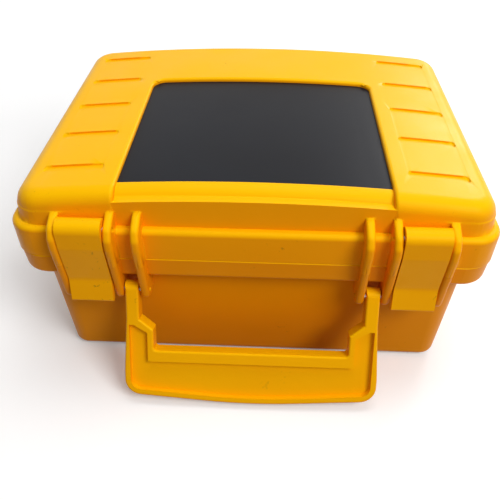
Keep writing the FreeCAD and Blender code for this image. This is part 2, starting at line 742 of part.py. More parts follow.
def make_lid_shell():
    """Upper half of the case: collar, dome with its channel and grooves, ribs and hinge barrels."""
    body = new_body("lid_shell")
    sketch = new_sketch(body, "collar_outline", offset="lip_z")
    add_rectangle(sketch, COLLAR_X, COLLAR_Y, "case_corner")
    pad(body, sketch, "collar", "lip_z - parting_z", taper="-collar_draft", reverse=True)
    round_edges(body, "lip_edge", "lip_round", lambda middle, extent: near(extent.ZMin, "lip_z"))
    dress_edges(body, "Chamfer", "collar_parting_edge", "parting_chamfer",
                lambda middle, extent: near(extent.ZMax, "parting_z"))
    sketch = new_sketch(body, "dome_outline", offset="lip_z")
    add_rectangle(sketch, f"{COLLAR_X} - dome_inset", f"{COLLAR_Y} - dome_inset", "case_corner")
    pad(body, sketch, "dome", "case_height - lip_z", taper="-dome_draft")
    round_edges(body, "dome_edge", "dome_edge_round", lambda middle, extent: near(extent.ZMin, "case_height"))

    sketch = new_sketch(body, "channel_outline", "YZ_Plane")
    above = "case_height + wall"
    channel_lean = "(channel_floor_z - lip_z) * tan(dome_draft * 1deg)"
    add_outline(sketch, [
        ("-channel_front_y", "lip_z"),
        (f"-channel_front_y + {channel_lean}", "channel_floor_z", "dome_edge_round"),
        ("channel_back_y", "channel_floor_z"),
        ("channel_back_y", above),
        (f"-{COLLAR_Y} - wall", above),
        (f"-{COLLAR_Y} - wall", "lip_z"),
    ])
    pocket(body, sketch, "channel", "2 * channel_half", symmetric=True)
    sketch = new_sketch(body, "plate_pocket_outline", offset="channel_floor_z")
    add_outline(sketch, [
        ("-channel_half", "-plate_front_y"),
        ("channel_half", "-plate_front_y"),
        ("channel_half", "channel_back_y"),
        ("-channel_half", "channel_back_y"),
    ])
    pocket(body, sketch, "plate_pocket", "plate_pocket")
    round_edges(body, "channel_back_corners", "channel_corner",
                lambda middle, extent: extent.XLength < 0.01 and extent.YLength < 0.01
                and near(middle.y, "channel_back_y") and near(abs(middle.x), "channel_half"))

    for ribs, root in ((RIBS[:2], f"{COLLAR_Y} - dome_inset - rib_root"), (RIBS[2:], "channel_front_y - rib_root")):
        add_ribs(body, ribs, [
            (f"-({COLLAR_Y} - rib_root - {COLLAR_DROP})", "parting_z"),
            (f"-{RIB_PARTING_Y}", "parting_z"),
            ("-rib_reach", "rib_knee_low_z", "rib_bend"),
            ("-rib_reach", "rib_knee_high_z", "rib_bend"),
            ("-rib_shoulder_y", "rib_shoulder_z", "rib_bend"),
            ("-rib_head_y", "rib_head_z", "rib_bend"),
            (f"-({root})", "rib_top_z"),
            (f"-({root})", "lip_z - rib_root"),
        ])
    round_edges(body, "rib_edges", "rib_edge_round",
                lambda middle, extent: rib_face_edge(middle, extent) and extent.ZLength > 0.01
                and (middle.y < -size(f"{COLLAR_Y} + 0.7")
                     or middle.z > size("rib_head_z - 0.5") and middle.y < -size("channel_front_y")))

    add_barrels(body, "lid_barrel", ["hinge_x - hinge_lid_length / 2"], "hinge_lid_length", [
        (HINGE_Y, "parting_z + hinge_gap"),
        (f"{HINGE_Y} + hinge_barrel * 0.7", "parting_z + hinge_barrel * 0.7"),
        (f"{FLANGE_TOP_Y} - rib_root", "parting_z + hinge_web"),
        (f"{FLANGE_TOP_Y} - rib_root", "parting_z + hinge_gap"),
    ])

    sketch = new_sketch(body, "latch_hole_outline", "YZ_Plane", "rib_middle_x - rib_thickness / 2")
    add_circle(sketch, "-latch_pin_y", "latch_pin_z", "latch_pin_radius")
    pocket(body, sketch, "latch_hole", "rib_outer_x - rib_middle_x + pin_blind", reverse=True)
    sketch = new_sketch(body, "lid_hinge_hole_outline", "YZ_Plane", "hinge_x - hinge_lid_length / 2")
    add_circle(sketch, HINGE_Y, "parting_z", "hinge_pin_radius + running_gap")
    pocket(body, sketch, "lid_hinge_hole", "hinge_lid_length", reverse=True)
    mirror(body, "lid_both_sides")

    sketch = new_sketch(body, "rim_cavity_outline", offset="parting_z")
    add_rectangle(sketch, f"{COLLAR_X} - collar_wall", f"{COLLAR_Y} - collar_wall", "case_corner - collar_wall")
    pocket(body, sketch, "rim_cavity", "gasket_seat_z - parting_z", reverse=True)
    sketch = new_sketch(body, "dome_cavity_outline", offset="gasket_seat_z")
    inner_x = f"{COLLAR_X} - dome_inset - dome_wall"
    inner_y = f"{COLLAR_Y} - dome_inset - dome_wall"
    add_rectangle(sketch, inner_x, inner_y, "case_corner - dome_wall")
    pocket(body, sketch, "dome_cavity", "lid_ceiling_z - gasket_seat_z", taper="-dome_draft", reverse=True)
    sketch = new_sketch(body, "channel_back_outline", offset="gasket_seat_z")
    add_outline(sketch, [
        ("-(channel_half + wall)", f"-({inner_y} + dome_wall / 2)"),
        ("channel_half + wall", f"-({inner_y} + dome_wall / 2)"),
        ("channel_half + wall", "-(channel_front_y - dome_wall)"),
        ("-(channel_half + wall)", "-(channel_front_y - dome_wall)"),
    ])
    pad(body, sketch, "channel_back", "lid_ceiling_z - gasket_seat_z")

    sketch = new_sketch(body, "groove_outline", offset="case_height")
    end = "groove_width / 2 * 0.98"
    add_outline(sketch, [
        ("groove_inner_x", "-groove_front_y - groove_width / 2", end),
        ("groove_outer_x", "-groove_front_y - groove_width / 2", end),
        ("groove_outer_x", "-groove_front_y + groove_width / 2", end),
        ("groove_inner_x", "-groove_front_y + groove_width / 2", end),
    ])
    groove = pocket(body, sketch, "groove", "groove_depth")
    row = body.newObject("PartDesign::MultiTransform", "grooves")
    row.Originals = [groove]
    along = body.newObject("PartDesign::LinearPattern", "groove_row")
    along.Direction = (origin_plane(body, "XZ_Plane"), [""])
    along.Reversed = True
    bind(along, Length="groove_pitch * (groove_count - 1)", Occurrences="groove_count")
    across = body.newObject("PartDesign::Mirrored", "groove_sides")
    across.MirrorPlane = (origin_plane(body, "YZ_Plane"), [""])
    row.Transformations = [along, across]
    finish_feature(body, row, smaller=True)

    notch = "rib_outer_x - rib_middle_x - rib_thickness"
    sketch = new_sketch(body, "latch_notch_outline", "YZ_Plane", "rib_middle_x + rib_thickness / 2")
    add_circle(sketch, "-latch_pin_y", "latch_pin_z", "latch_barrel + latch_barrel_gap")
    cut_out = pocket(body, sketch, "latch_notch", notch, reverse=True)
    mirror(body, "latch_notches", [cut_out])
    return body


def make_lid_gasket():
    """Rubber seal on the lid's ledge, just above the base's tongue."""
    body = new_body("lid_gasket")
    sketch = new_sketch(body, "gasket_outline", offset="parting_z + tongue_height + gasket_gap")
    outer = "collar_wall + plate_gap"
    inner = "tongue_inset + tongue_width + plate_gap"
    add_rectangle(sketch, f"{COLLAR_X} - ({outer})", f"{COLLAR_Y} - ({outer})", f"case_corner - ({outer})")
    add_rectangle(sketch, f"{COLLAR_X} - ({inner})", f"{COLLAR_Y} - ({inner})", f"case_corner - ({inner})")
    pad(body, sketch, "gasket", "gasket_seat_z - parting_z - tongue_height - gasket_gap")
    return body


def make_lid_plate():
    """Thin plate that fills the pocket in the lid's channel."""
    body = new_body("lid_plate")
    sketch = new_sketch(body, "plate_outline", offset="channel_floor_z - plate_pocket")
    add_outline(sketch, [
        ("-(channel_half - plate_gap)", "-(plate_front_y - plate_gap)"),
        ("channel_half - plate_gap", "-(plate_front_y - plate_gap)"),
        ("channel_half - plate_gap", "channel_back_y - plate_gap", "channel_corner"),
        ("-(channel_half - plate_gap)", "channel_back_y - plate_gap", "channel_corner"),
    ])
    pad(body, sketch, "plate", "plate_thickness")
    return body


def make_latch(label, side):
    """Draw latch between the outer two ribs: barrel on its pin, plate, hook and finger lip."""
    body = new_body(label)
    middle = f"{side} * (rib_outer_x + rib_middle_x) / 2"
    length = "rib_outer_x - rib_middle_x - rib_thickness - 2 * latch_side_gap"
    sketch = new_sketch(body, "barrel_outline", "YZ_Plane", middle)
    add_circle(sketch, "-latch_pin_y", "latch_pin_z", "latch_barrel")
    pad(body, sketch, "barrel", length, symmetric=True)
    sketch = new_sketch(body, "plate_outline", "YZ_Plane", middle)
    add_outline(sketch, [
        ("-(latch_pin_y + latch_barrel)", "latch_pin_z"),
        ("-latch_face_y", "rib_knee_low_z", "latch_bend"),
        ("-latch_waist_y", "latch_waist_z", "latch_bend"),
        ("-latch_lip_y", "latch_lip_z", "latch_plate / 3"),
        ("-(latch_lip_y - latch_plate)", "latch_lip_z", "latch_plate / 3"),
        ("-(latch_waist_y - latch_plate)", "latch_waist_z", "latch_bend"),
        ("-(latch_face_y - latch_plate - 1)", "rib_knee_low_z"),
        ("-latch_pin_y", "latch_pin_z - latch_barrel / 2"),
    ])
    pad(body, sketch, "plate", length, symmetric=True)
    sketch = new_sketch(body, "hook_outline", "YZ_Plane", middle)
    tip = f"-({FLANGE_TOP_Y} - {FLANGE_DROP} - hook_reach)"
    add_outline(sketch, [
        (tip, "flange_z - hook_gap"),
        ("-(latch_waist_y - latch_plate / 2)", "flange_z - hook_gap"),
        ("-(latch_waist_y - latch_plate / 2)", "flange_z - hook_gap - hook_thickness"),
        (tip, "flange_z - hook_gap - hook_thickness"),
    ])
    pad(body, sketch, "hook", length, symmetric=True)
    sketch = new_sketch(body, "pin_hole_outline", "YZ_Plane", middle)
    add_circle(sketch, "-latch_pin_y", "latch_pin_z", "latch_pin_radius + running_gap")
    pocket(body, sketch, "pin_hole", length, symmetric=True)
    return body


# ---------------------------------------------------------------- handle

def make_handle():
    """Carrying handle, drawn hanging from its pins and then tilted outwards."""
    body = new_body("carry_handle")
    outer = "(rib_middle_x - rib_thickness / 2 - handle_side_gap)"
    inner = f"({outer} - handle_arm)"
    wide = f"({outer} + handle_flare)"
    sketch = new_sketch(body, "handle_outline", "XZ_Plane")
    top = "handle_thickness / 2"
    right = [
        (outer, top),
        (outer, "-handle_arm_end"),
        (wide, "-handle_shoulder"),
        (wide, "-handle_end_side", "handle_corner"),
    ]
    opening = [
        ("handle_knee_half", "-handle_grip_top", "handle_rim / 2"),
        ("handle_knee_half", "-handle_knee"),
        (inner, "-handle_arm_end"),
        (inner, top),
    ]
    left = [(f"-{corner[0]}", *corner[1:]) for corner in reversed(right)]
    far_opening = [(f"-{corner[0]}", *corner[1:]) for corner in reversed(opening)]
    add_outline(sketch, right + [("0", "-handle_end", "handle_end_bow")] + left + far_opening + opening)
    pad(body, sketch, "handle_frame", "handle_thickness", symmetric=True)
    round_edges(body, "handle_edges", "handle_edge_round",
                lambda middle, extent: extent.YLength < 0.01 and near(abs(middle.y), "handle_thickness / 2")
                and not near(extent.ZMin, top))
    sketch = new_sketch(body, "handle_eye_outline", "YZ_Plane")
    add_outline(sketch, [
        (f"-{top} - 1", "0"),
        (f"-{top}", "0"),
        (f"-{top}", top, f"{top} * 0.99"),
        (top, top, f"{top} * 0.99"),
        (top, "0"),
        (f"{top} + 1", "0"),
        (f"{top} + 1", f"{top} + 1"),
        (f"-{top} - 1", f"{top} + 1"),
    ])
    pocket(body, sketch, "handle_eyes", f"2 * {outer} + 2", symmetric=True)

    sketch = new_sketch(body, "recess_outline", "XZ_Plane", "handle_thickness / 2")
    rim = "handle_rim"
    recess_top = f"-(handle_arm_end + {rim})"
    right = [
        (f"{wide} - {rim}", recess_top),
        (f"{wide} - {rim}", f"-handle_end_side + {rim}", f"handle_corner - {rim}"),
    ]
    inside = [
        (f"handle_knee_half + {rim}", "-(handle_grip_top + handle_grip_rim)"),
        (f"handle_knee_half + {rim}", f"-(handle_knee + {rim} / 2)"),
        (f"{inner} + {rim}", recess_top),
    ]
    left = [(f"-({corner[0]})", *corner[1:]) for corner in reversed(right)]
    far_inside = [(f"-({corner[0]})", *corner[1:]) for corner in reversed(inside)]
    add_outline(sketch, right + [("0", f"-handle_end + {rim}", "handle_end_bow")] + left + far_inside + inside)
    pocket(body, sketch, "handle_recess", "handle_recess")

    sketch = new_sketch(body, "handle_bore_outline", "YZ_Plane")
    add_circle(sketch, "0", "0", "handle_pin_radius + running_gap")
    pocket(body, sketch, "handle_bore", f"2 * {outer} + 2", symmetric=True)
    body.Placement = FreeCAD.Placement(FreeCAD.Vector(), FreeCAD.Rotation(FreeCAD.Vector(1, 0, 0), -1))
    bind(body, Placement__Base__y="-handle_pin_y", Placement__Base__z="handle_pin_z",
         Placement__Rotation__Angle="-handle_tilt")
    return body


# ---------------------------------------------------------------- instrument panel

def make_control_panel():
    """Panel on the base's ledge, with openings for everything that it carries."""
    body = new_body("control_panel")
    sketch = new_sketch(body, "panel_outline", offset="panel_seat_z")
    gap = "(tongue_inset + tongue_width + panel_gap)"
    add_rectangle(sketch, f"{COLLAR_X} - {gap}", f"{COLLAR_Y} - {gap}", f"case_corner - {gap}")
    pad(body, sketch, "panel", "panel_thickness")
    sketch = new_sketch(body, "panel_posts_outline", offset="panel_seat_z")
    for side in ("-", "+"):
        add_circle(sketch, f"key_x {side} (key_board_length / 2 - key_post_radius)", "key_y", "key_post_radius")
    pad(body, sketch, "panel_posts", "key_stem_length + key_collar_height", reverse=True)

    sketch = new_sketch(body, "panel_openings_outline", offset=PANEL_TOP)
    outlet = "(outlet_body / 2 + outlet_gap)"
    add_rectangle(sketch, outlet, outlet, x="outlet_x", y="outlet_y")
    add_rectangle(sketch, "inlet_body_length / 2 + outlet_gap", "inlet_body_width / 2 + outlet_gap",
                  x="inlet_x", y="inlet_y")
    add_rectangle(sketch, "window_length / 2 + plate_gap", "window_width / 2 + plate_gap",
                  x="display_x", y="display_y")
    for number in range(2):
        add_circle(sketch, "fuse_x", f"fuse_back_y - {number} * fuse_pitch", "fuse_body_radius + plate_gap")
        add_circle(sketch, "terminal_x", f"terminal_front_y + {number} * terminal_pitch",
                   "terminal_neck + plate_gap")
    for number in (-1, 0, 1):
        add_circle(sketch, f"key_x + {number} * key_pitch", "key_y", "key_radius + key_gap")
        add_circle(sketch, f"display_x + {number} * lamp_pitch", "lamp_y", "lamp_radius")
    add_circle(sketch, "knob_x", "knob_y", "selector_shaft_radius + 1")
    for x, y in BOSS_POINTS:
        add_circle(sketch, x, y, "screw_radius + outlet_gap")
    pocket(body, sketch, "panel_openings", "panel_thickness")
    return body


def make_panel_screws():
    """Six screws that hold the panel down on the base's bosses."""
    screws = []
    for number, (x, y) in enumerate(BOSS_POINTS, start=1):
        shank_length = "screw_length - 1 + panel_thickness"
        shank = cylinder("shank", "screw_radius", shank_length, x, y, f"{PANEL_TOP} - ({shank_length})")
        head = cylinder("head", "screw_head_radius", "screw_head_height", x, y, PANEL_TOP)
        screws.append(fuse(f"panel_screw_{number}", [shank, head]))
    return group("panel_screws", screws)


def make_mains_outlet():
    """Three-pin mains outlet where the appliance under test is plugged in."""
    plate = box("outlet_plate", "outlet_plate", "outlet_plate", "outlet_plate_thickness",
                "outlet_x", "outlet_y", PANEL_TOP)
    top = f"({PANEL_TOP} + outlet_plate_thickness)"
    body = box("outlet_body", "outlet_body", "outlet_body", "outlet_depth + panel_thickness",
               "outlet_x", "outlet_y", "panel_seat_z - outlet_depth")
    floor = f"{top} - outlet_slot_depth"
    low = "outlet_y - outlet_half_pitch"
    slots = [
        box("left_slot", "outlet_slot_wide", "outlet_slot_high", "outlet_slot_depth + 1",
            "outlet_x - outlet_half_pitch", low, floor),
        box("right_slot", "outlet_slot_wide", "outlet_slot_high", "outlet_slot_depth + 1",
            "outlet_x + outlet_half_pitch", low, floor),
        box("earth_slot", "outlet_earth_wide", "outlet_earth_high", "outlet_slot_depth + 1",
            "outlet_x", f"{low} + outlet_pin_pitch", floor),
    ]
    solid = fuse("outlet_solid", [plate, body])
    return cut("mains_outlet", solid, fuse("outlet_slots", slots))


def make_mains_inlet():
    """Appliance inlet for the tester's own supply."""
    flange = box("inlet_flange", "inlet_flange_length", "inlet_flange_width", "inlet_flange_thickness",
                 "inlet_x", "inlet_y", PANEL_TOP)
    body = box("inlet_body", "inlet_body_length", "inlet_body_width", "inlet_depth + panel_thickness",
               "inlet_x", "inlet_y", "panel_seat_z - inlet_depth")
    mouth = box("inlet_mouth", "inlet_mouth_length", "inlet_mouth_width", "inlet_mouth_depth + 1",
                "inlet_x", "inlet_y", f"{PANEL_TOP} + inlet_flange_thickness - inlet_mouth_depth")
    return cut("mains_inlet", fuse("inlet_solid", [flange, body]), mouth)


def make_inlet_pins():
    """Three flat pins that stand on the inlet's floor."""
    floor = f"{PANEL_TOP} + inlet_flange_thickness - inlet_mouth_depth"
    pins = []
    for number, shift in ((-1, "-inlet_earth_shift"), (0, "inlet_earth_shift"), (1, "-inlet_earth_shift")):
        pins.append(box("inlet_pin", "inlet_pin_thick", "inlet_pin_wide", "inlet_pin_length",
                        f"inlet_x + {number} * inlet_pin_pitch", f"inlet_y {shift}" if shift[0] == "-"
                        else f"inlet_y + {shift}", floor))
    return group("inlet_pins", pins)


def make_fuse_parts():
    """Two fuse holders in the panel, and the screw caps on them."""
    bodies = []
    caps = []
    for number in range(2):
        y = f"fuse_back_y - {number} * fuse_pitch"
        bodies.append(cylinder("fuse_body", "fuse_body_radius", "fuse_body_length + panel_thickness", "fuse_x", y,
                               "panel_seat_z - fuse_body_length"))
        caps.append(cylinder("fuse_cap", "fuse_cap_radius", "fuse_cap_height", "fuse_x", y, PANEL_TOP))
    return [group("fuse_holders", bodies), group("fuse_caps", caps)]


def make_display_parts():
    """Bezel on the panel, window in the panel's opening and display module behind it."""
    frame = box("bezel_block", "bezel_length", "bezel_width", "bezel_thickness", "display_x", "display_y",
                PANEL_TOP)
    opening = box("bezel_opening", "window_length - 2 * window_rim", "window_width - 2 * window_rim",
                  "bezel_thickness + 2", "display_x", "display_y", f"{PANEL_TOP} - 1")
    bezel = cut("display_bezel", frame, opening)
    window = box("display_window", "window_length", "window_width", "panel_thickness", "display_x", "display_y",
                 "panel_seat_z")
    module = box("display_module", "module_length", "module_width", "module_thickness", "display_x", "display_y",
                 "panel_seat_z - module_thickness")
    return [bezel, only("display_window", window), only("display_module", module)]


def make_selector_knob():
    """Round fluted knob on its shaft."""
    body = new_body("selector_knob")
    base_z = f"{PANEL_TOP} + knob_gap"
    sketch = new_sketch(body, "skirt_outline", offset=base_z)
    add_circle(sketch, "knob_x", "knob_y", "knob_skirt_radius")
    pad(body, sketch, "skirt", "knob_skirt_height")
    sketch = new_sketch(body, "grip_outline", offset=base_z)
    add_circle(sketch, "knob_x", "knob_y", "knob_radius")
    pad(body, sketch, "grip", "knob_height")
    sketch = new_sketch(body, "flute_outline", offset=f"{base_z} + knob_height")
    for number in range(int(size("knob_grips"))):
        turn = f"{number} * 360deg / knob_grips"
        add_circle(sketch, f"knob_x + knob_radius * cos({turn})", f"knob_y + knob_radius * sin({turn})",
                   "knob_grip_radius")
    pocket(body, sketch, "flutes", "knob_height - knob_skirt_height")
    sketch = new_sketch(body, "shaft_outline", offset=base_z)
    add_circle(sketch, "knob_x", "knob_y", "selector_shaft_radius")
    pad(body, sketch, "shaft", "knob_gap + panel_thickness + selector_depth / 2", reverse=True)
    return body


def make_selector_switch():
    """Rotary switch under the panel, bored for the knob's shaft."""
    body = new_body("selector_switch")
    sketch = new_sketch(body, "switch_outline", offset="panel_seat_z")
    add_circle(sketch, "knob_x", "knob_y", "selector_radius")
    pad(body, sketch, "switch", "selector_depth", reverse=True)
    sketch = new_sketch(body, "switch_bore_outline", offset="panel_seat_z")
    add_circle(sketch, "knob_x", "knob_y", "selector_shaft_radius + running_gap")
    pocket(body, sketch, "switch_bore", "selector_depth / 2 + 1")
    return body


def make_key(label, number):
    """Push button with a collar under the panel and a stem down to its switch."""
    x = f"key_x + {number} * key_pitch"
    collar_top = "panel_seat_z - key_gap"
    cap = cylinder("key_cap", "key_radius", f"{PANEL_TOP} + key_rise - ({collar_top})", x, "key_y", collar_top)
    collar = cylinder("key_collar", "key_collar_radius", "key_collar_height", x, "key_y",
                      f"{collar_top} - key_collar_height")
    stem = cylinder("key_stem", "key_stem_radius", "key_stem_length", x, "key_y",
                    f"{collar_top} - key_collar_height - key_stem_length")
    return fuse(label, [cap, collar, stem])


def make_key_parts():
    """Switches that the keys press, on a small board held by the panel's posts."""
    board_top = "(panel_seat_z - key_stem_length - key_collar_height - key_switch_height / 3 - key_gap)"
    post_end = "(panel_seat_z - key_stem_length - key_collar_height)"
    board = box("key_plate", "key_board_length", "key_board_width", "board_thickness", "key_x", "key_y",
                f"{board_top} - board_thickness")
    spacers = []
    for side in ("-", "+"):
        spacers.append(cylinder("key_spacer", "key_post_radius", f"{post_end} - {board_top}",
                                f"key_x {side} (key_board_length / 2 - key_post_radius)", "key_y", board_top))
    switches = []
    for number in (-1, 0, 1):
        x = f"key_x + {number} * key_pitch"
        block = box("key_block", "key_switch_side", "key_switch_side", "key_switch_height / 3 + key_travel", x,
                    "key_y", board_top)
        bore = cylinder("key_bore", "key_stem_radius + key_gap", "key_switch_height", x, "key_y", board_top)
        switches.append(cut(f"key_switch_{number + 2}", block, bore))
    return [fuse("key_board", [board] + spacers), group("key_switches", switches)]


def make_signal_lamps():
    """Three lamps pressed into the panel."""
    lamps = []
    for number in (-1, 0, 1):
        x = f"display_x + {number} * lamp_pitch"
        stem = cylinder("lamp_stem", "lamp_radius", "lamp_length", x, "lamp_y", f"{PANEL_TOP} - lamp_length")
        flange = cylinder("lamp_flange", "lamp_radius + lamp_flange", "lamp_flange", x, "lamp_y", PANEL_TOP)
        lamps.append(fuse(f"lamp_{number + 2}", [stem, flange]))
    return group("signal_lamps", lamps)


def make_terminal_parts():
    """Shrouded test terminals and the metal sleeves in them."""
    shrouds = []
    sleeves = []
    for number in range(2):
        y = f"terminal_front_y + {number} * terminal_pitch"
        top = f"({PANEL_TOP} + terminal_rise)"
        rise = cylinder("shroud_rise", "terminal_radius", "terminal_rise", "terminal_x", y, PANEL_TOP)
        neck = cylinder("shroud_neck", "terminal_neck", "terminal_depth + panel_thickness", "terminal_x", y,
                        "panel_seat_z - terminal_depth")
        mouth = cylinder("shroud_mouth", "terminal_mouth", f"{top} - panel_seat_z + 1", "terminal_x", y,
                         "panel_seat_z")
        seat = cylinder("shroud_seat", "sleeve_radius", "terminal_depth + 2", "terminal_x", y,
                        "panel_seat_z - terminal_depth - 1")
        shrouds.append(cut(f"terminal_shroud_{number + 1}", fuse(f"shroud_solid_{number + 1}", [rise, neck]),
                           fuse(f"shroud_bore_{number + 1}", [mouth, seat])))
        base = f"{top} - sleeve_drop - sleeve_length"
        tube = cylinder("sleeve_tube", "sleeve_radius", "sleeve_length", "terminal_x", y, base)
        bore = cylinder("sleeve_hole", "sleeve_bore", "sleeve_length", "terminal_x", y, f"{base} + 2")
        sleeves.append(cut(f"terminal_sleeve_{number + 1}", tube, bore))
    return [group("terminal_shrouds", shrouds), group("terminal_sleeves", sleeves)]


# ---------------------------------------------------------------- inside the base

def make_board_parts():
    """Main circuit board on standoffs, with its screws, relays, capacitors and chips."""
    standoffs = []
    screws = []
    board_z = f"({FLOOR_TOP} + standoff_height)"
    board_top = f"({board_z} + board_thickness)"
    for side_x in ("-", "+"):
        for side_y in ("-", "+"):
            x = f"board_x {side_x} (board_length / 2 - standoff_inset)"
            y = f"board_y {side_y} (board_width / 2 - standoff_inset)"
            standoffs.append(cylinder("standoff", "standoff_radius", "standoff_height", x, y, FLOOR_TOP))
            screws.append(cylinder("board_screw", "board_screw_radius", "board_screw_height", x, y, board_top))
    board = box("main_board", "board_length", "board_width", "board_thickness", "board_x", "board_y", board_z)
    relays = []
    for number in range(int(size("relay_count"))):
        relays.append(box("relay", "relay_length", "relay_width", "relay_height", "relay_x",
                          f"relay_front_y + {number} * relay_pitch", board_top))
    capacitors = []
    for number in range(3):
        capacitors.append(cylinder("capacitor", "capacitor_radius", "capacitor_height", "capacitor_x",
                                   f"capacitor_front_y + {number} * capacitor_pitch", board_top))
    chips = []
    for number in range(3):
        chips.append(box("chip", "chip_side", "chip_side", "chip_height", "chip_x",
                         f"chip_front_y + {number} * chip_pitch", board_top))
    return [group("board_standoffs", standoffs), group("board_screws", screws), only("main_board", board),
            group("relays", relays), group("capacitors", capacitors), group("chips", chips)]


def make_transformer_parts():
    """Laminated core in a bracket on the floor, with its winding round the middle limb."""
    core_z = f"({FLOOR_TOP} + bracket_thickness)"
    bracket = box("transformer_bracket", "core_length + 2 * bracket_ear", "core_width", "bracket_thickness",
                  "transformer_x", "transformer_y", FLOOR_TOP)
    stack = box("core_stack", "core_length", "core_width", "core_height", "transformer_x", "transformer_y",
                core_z)
    window = "(core_length - 3 * core_limb) / 2"
    windows = []
    for side in ("-", "+"):
        windows.append(box("core_window", window, "core_width + 2", "core_height - 2 * core_limb",
                           f"transformer_x {side} (core_limb + {window}) / 2", "transformer_y",
                           f"{core_z} + core_limb"))
    core = cut("transformer_core", stack, fuse("core_windows", windows))
    reel = box("winding_block", f"core_limb + 2 * {window} - 2 * winding_gap", "winding_width",
               "core_height - 2 * core_limb", "transformer_x", "transformer_y", f"{core_z} + core_limb")
    middle_limb = box("middle_limb", "core_limb", "winding_width + 2", "core_height", "transformer_x",
                      "transformer_y", core_z)
    winding = cut("transformer_winding", reel, middle_limb)
    return [only("transformer_bracket", bracket), core, winding]


# ---------------------------------------------------------------- build and export

def make_parts():
    """Build every sub-part and give them in order."""
    pin_end = "rib_middle_x - rib_thickness / 2 + pin_blind - pin_recess / 2"
    parts = [
        make_base_shell(),
        make_feet(),
        make_side_pins("handle_pins", "handle_pin_radius", "-handle_pin_y", "handle_pin_z",
                       "rib_inner_x - rib_thickness / 2 + pin_recess", pin_end),
        make_side_pins("hinge_pins", "hinge_pin_radius", HINGE_Y, "parting_z",
                       "hinge_x - hinge_length / 2 + pin_recess / 2", "hinge_x + hinge_length / 2 - pin_recess / 2"),
        make_lid_shell(),
        make_lid_gasket(),
        make_lid_plate(),
        make_side_pins("latch_pins", "latch_pin_radius", "-latch_pin_y", "latch_pin_z",
                       "rib_middle_x - rib_thickness / 2 + pin_recess",
                       "rib_outer_x - rib_thickness / 2 + pin_blind - pin_recess / 2"),
        make_latch("latch_left", "-1"),
        make_latch("latch_right", "1"),
        make_handle(),
        make_control_panel(),
        make_panel_screws(),
        make_mains_outlet(),
        make_mains_inlet(),
        make_inlet_pins(),
        make_selector_knob(),
        make_selector_switch(),
        make_signal_lamps(),
    ]
    for label, number in (("key_left", -1), ("key_middle", 0), ("key_right", 1)):
        parts.append(make_key(label, number))
    for several in (make_fuse_parts(), make_display_parts(), make_key_parts(), make_terminal_parts(),
                    make_board_parts(), make_transformer_parts()):
        parts.extend(several)
    return parts


def export_parts(parts):
    """Check every object, then write each sub-part under its label."""
    doc.recompute()
    for item in doc.Objects:
        if "Invalid" in item.State or "Error" in item.State:
            raise RuntimeError(f"{item.Name} failed: {item.State}")
    for part in parts:
        if part.Shape.isNull() or not part.Shape.isValid():
            raise RuntimeError(f"{part.Label} has no valid shape")
    os.makedirs("parts", exist_ok=True)
    for part in parts:
        part.Shape.exportStep(os.path.join("parts", part.Label + ".step"))


export_parts(make_parts())
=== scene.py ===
"""Dresses the electrical tester: finishes, bowed lid, softened panel parts, markings, studio and camera."""
import logging
import math
from collections.abc import Callable
from dataclasses import dataclass, field, replace
from enum import Enum

import bpy
from mathutils import Euler, Matrix, Vector


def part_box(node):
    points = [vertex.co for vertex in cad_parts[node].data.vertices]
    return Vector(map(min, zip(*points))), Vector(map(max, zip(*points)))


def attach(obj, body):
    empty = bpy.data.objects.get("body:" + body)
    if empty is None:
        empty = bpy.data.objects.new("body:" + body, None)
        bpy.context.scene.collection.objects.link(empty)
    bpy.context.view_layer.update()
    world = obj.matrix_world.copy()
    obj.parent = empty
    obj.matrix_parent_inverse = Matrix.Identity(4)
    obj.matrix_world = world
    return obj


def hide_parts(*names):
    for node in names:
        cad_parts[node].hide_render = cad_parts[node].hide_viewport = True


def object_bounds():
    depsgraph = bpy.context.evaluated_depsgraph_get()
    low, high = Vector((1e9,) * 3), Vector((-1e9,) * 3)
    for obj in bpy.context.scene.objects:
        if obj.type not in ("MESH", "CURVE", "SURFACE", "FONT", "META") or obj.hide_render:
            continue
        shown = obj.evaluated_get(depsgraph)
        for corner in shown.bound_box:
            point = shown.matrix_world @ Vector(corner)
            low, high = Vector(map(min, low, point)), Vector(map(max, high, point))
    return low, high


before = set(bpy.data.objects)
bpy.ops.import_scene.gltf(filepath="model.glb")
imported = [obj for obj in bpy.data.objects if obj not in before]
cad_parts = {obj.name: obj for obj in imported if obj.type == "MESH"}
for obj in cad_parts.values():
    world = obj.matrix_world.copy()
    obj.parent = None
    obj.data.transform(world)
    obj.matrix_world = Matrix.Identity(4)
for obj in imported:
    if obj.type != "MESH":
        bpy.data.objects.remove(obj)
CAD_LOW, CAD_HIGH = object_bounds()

log = logging.getLogger("tester")
MM = 0.001


class Grain(Enum):
    """Surface that a finish is given."""

    MOULDED = "moulded"
    BRUSHED = "brushed"
    LAMINATED = "laminated"
    BOARD = "board"
    WOUND = "wound"
    CLEAR = "clear"


class Axis(Enum):
    """Direction in which stripes or strokes follow one another."""

    X = 0
    Y = 1
    Z = 2


# ---------------------------------------------------------------- finishes

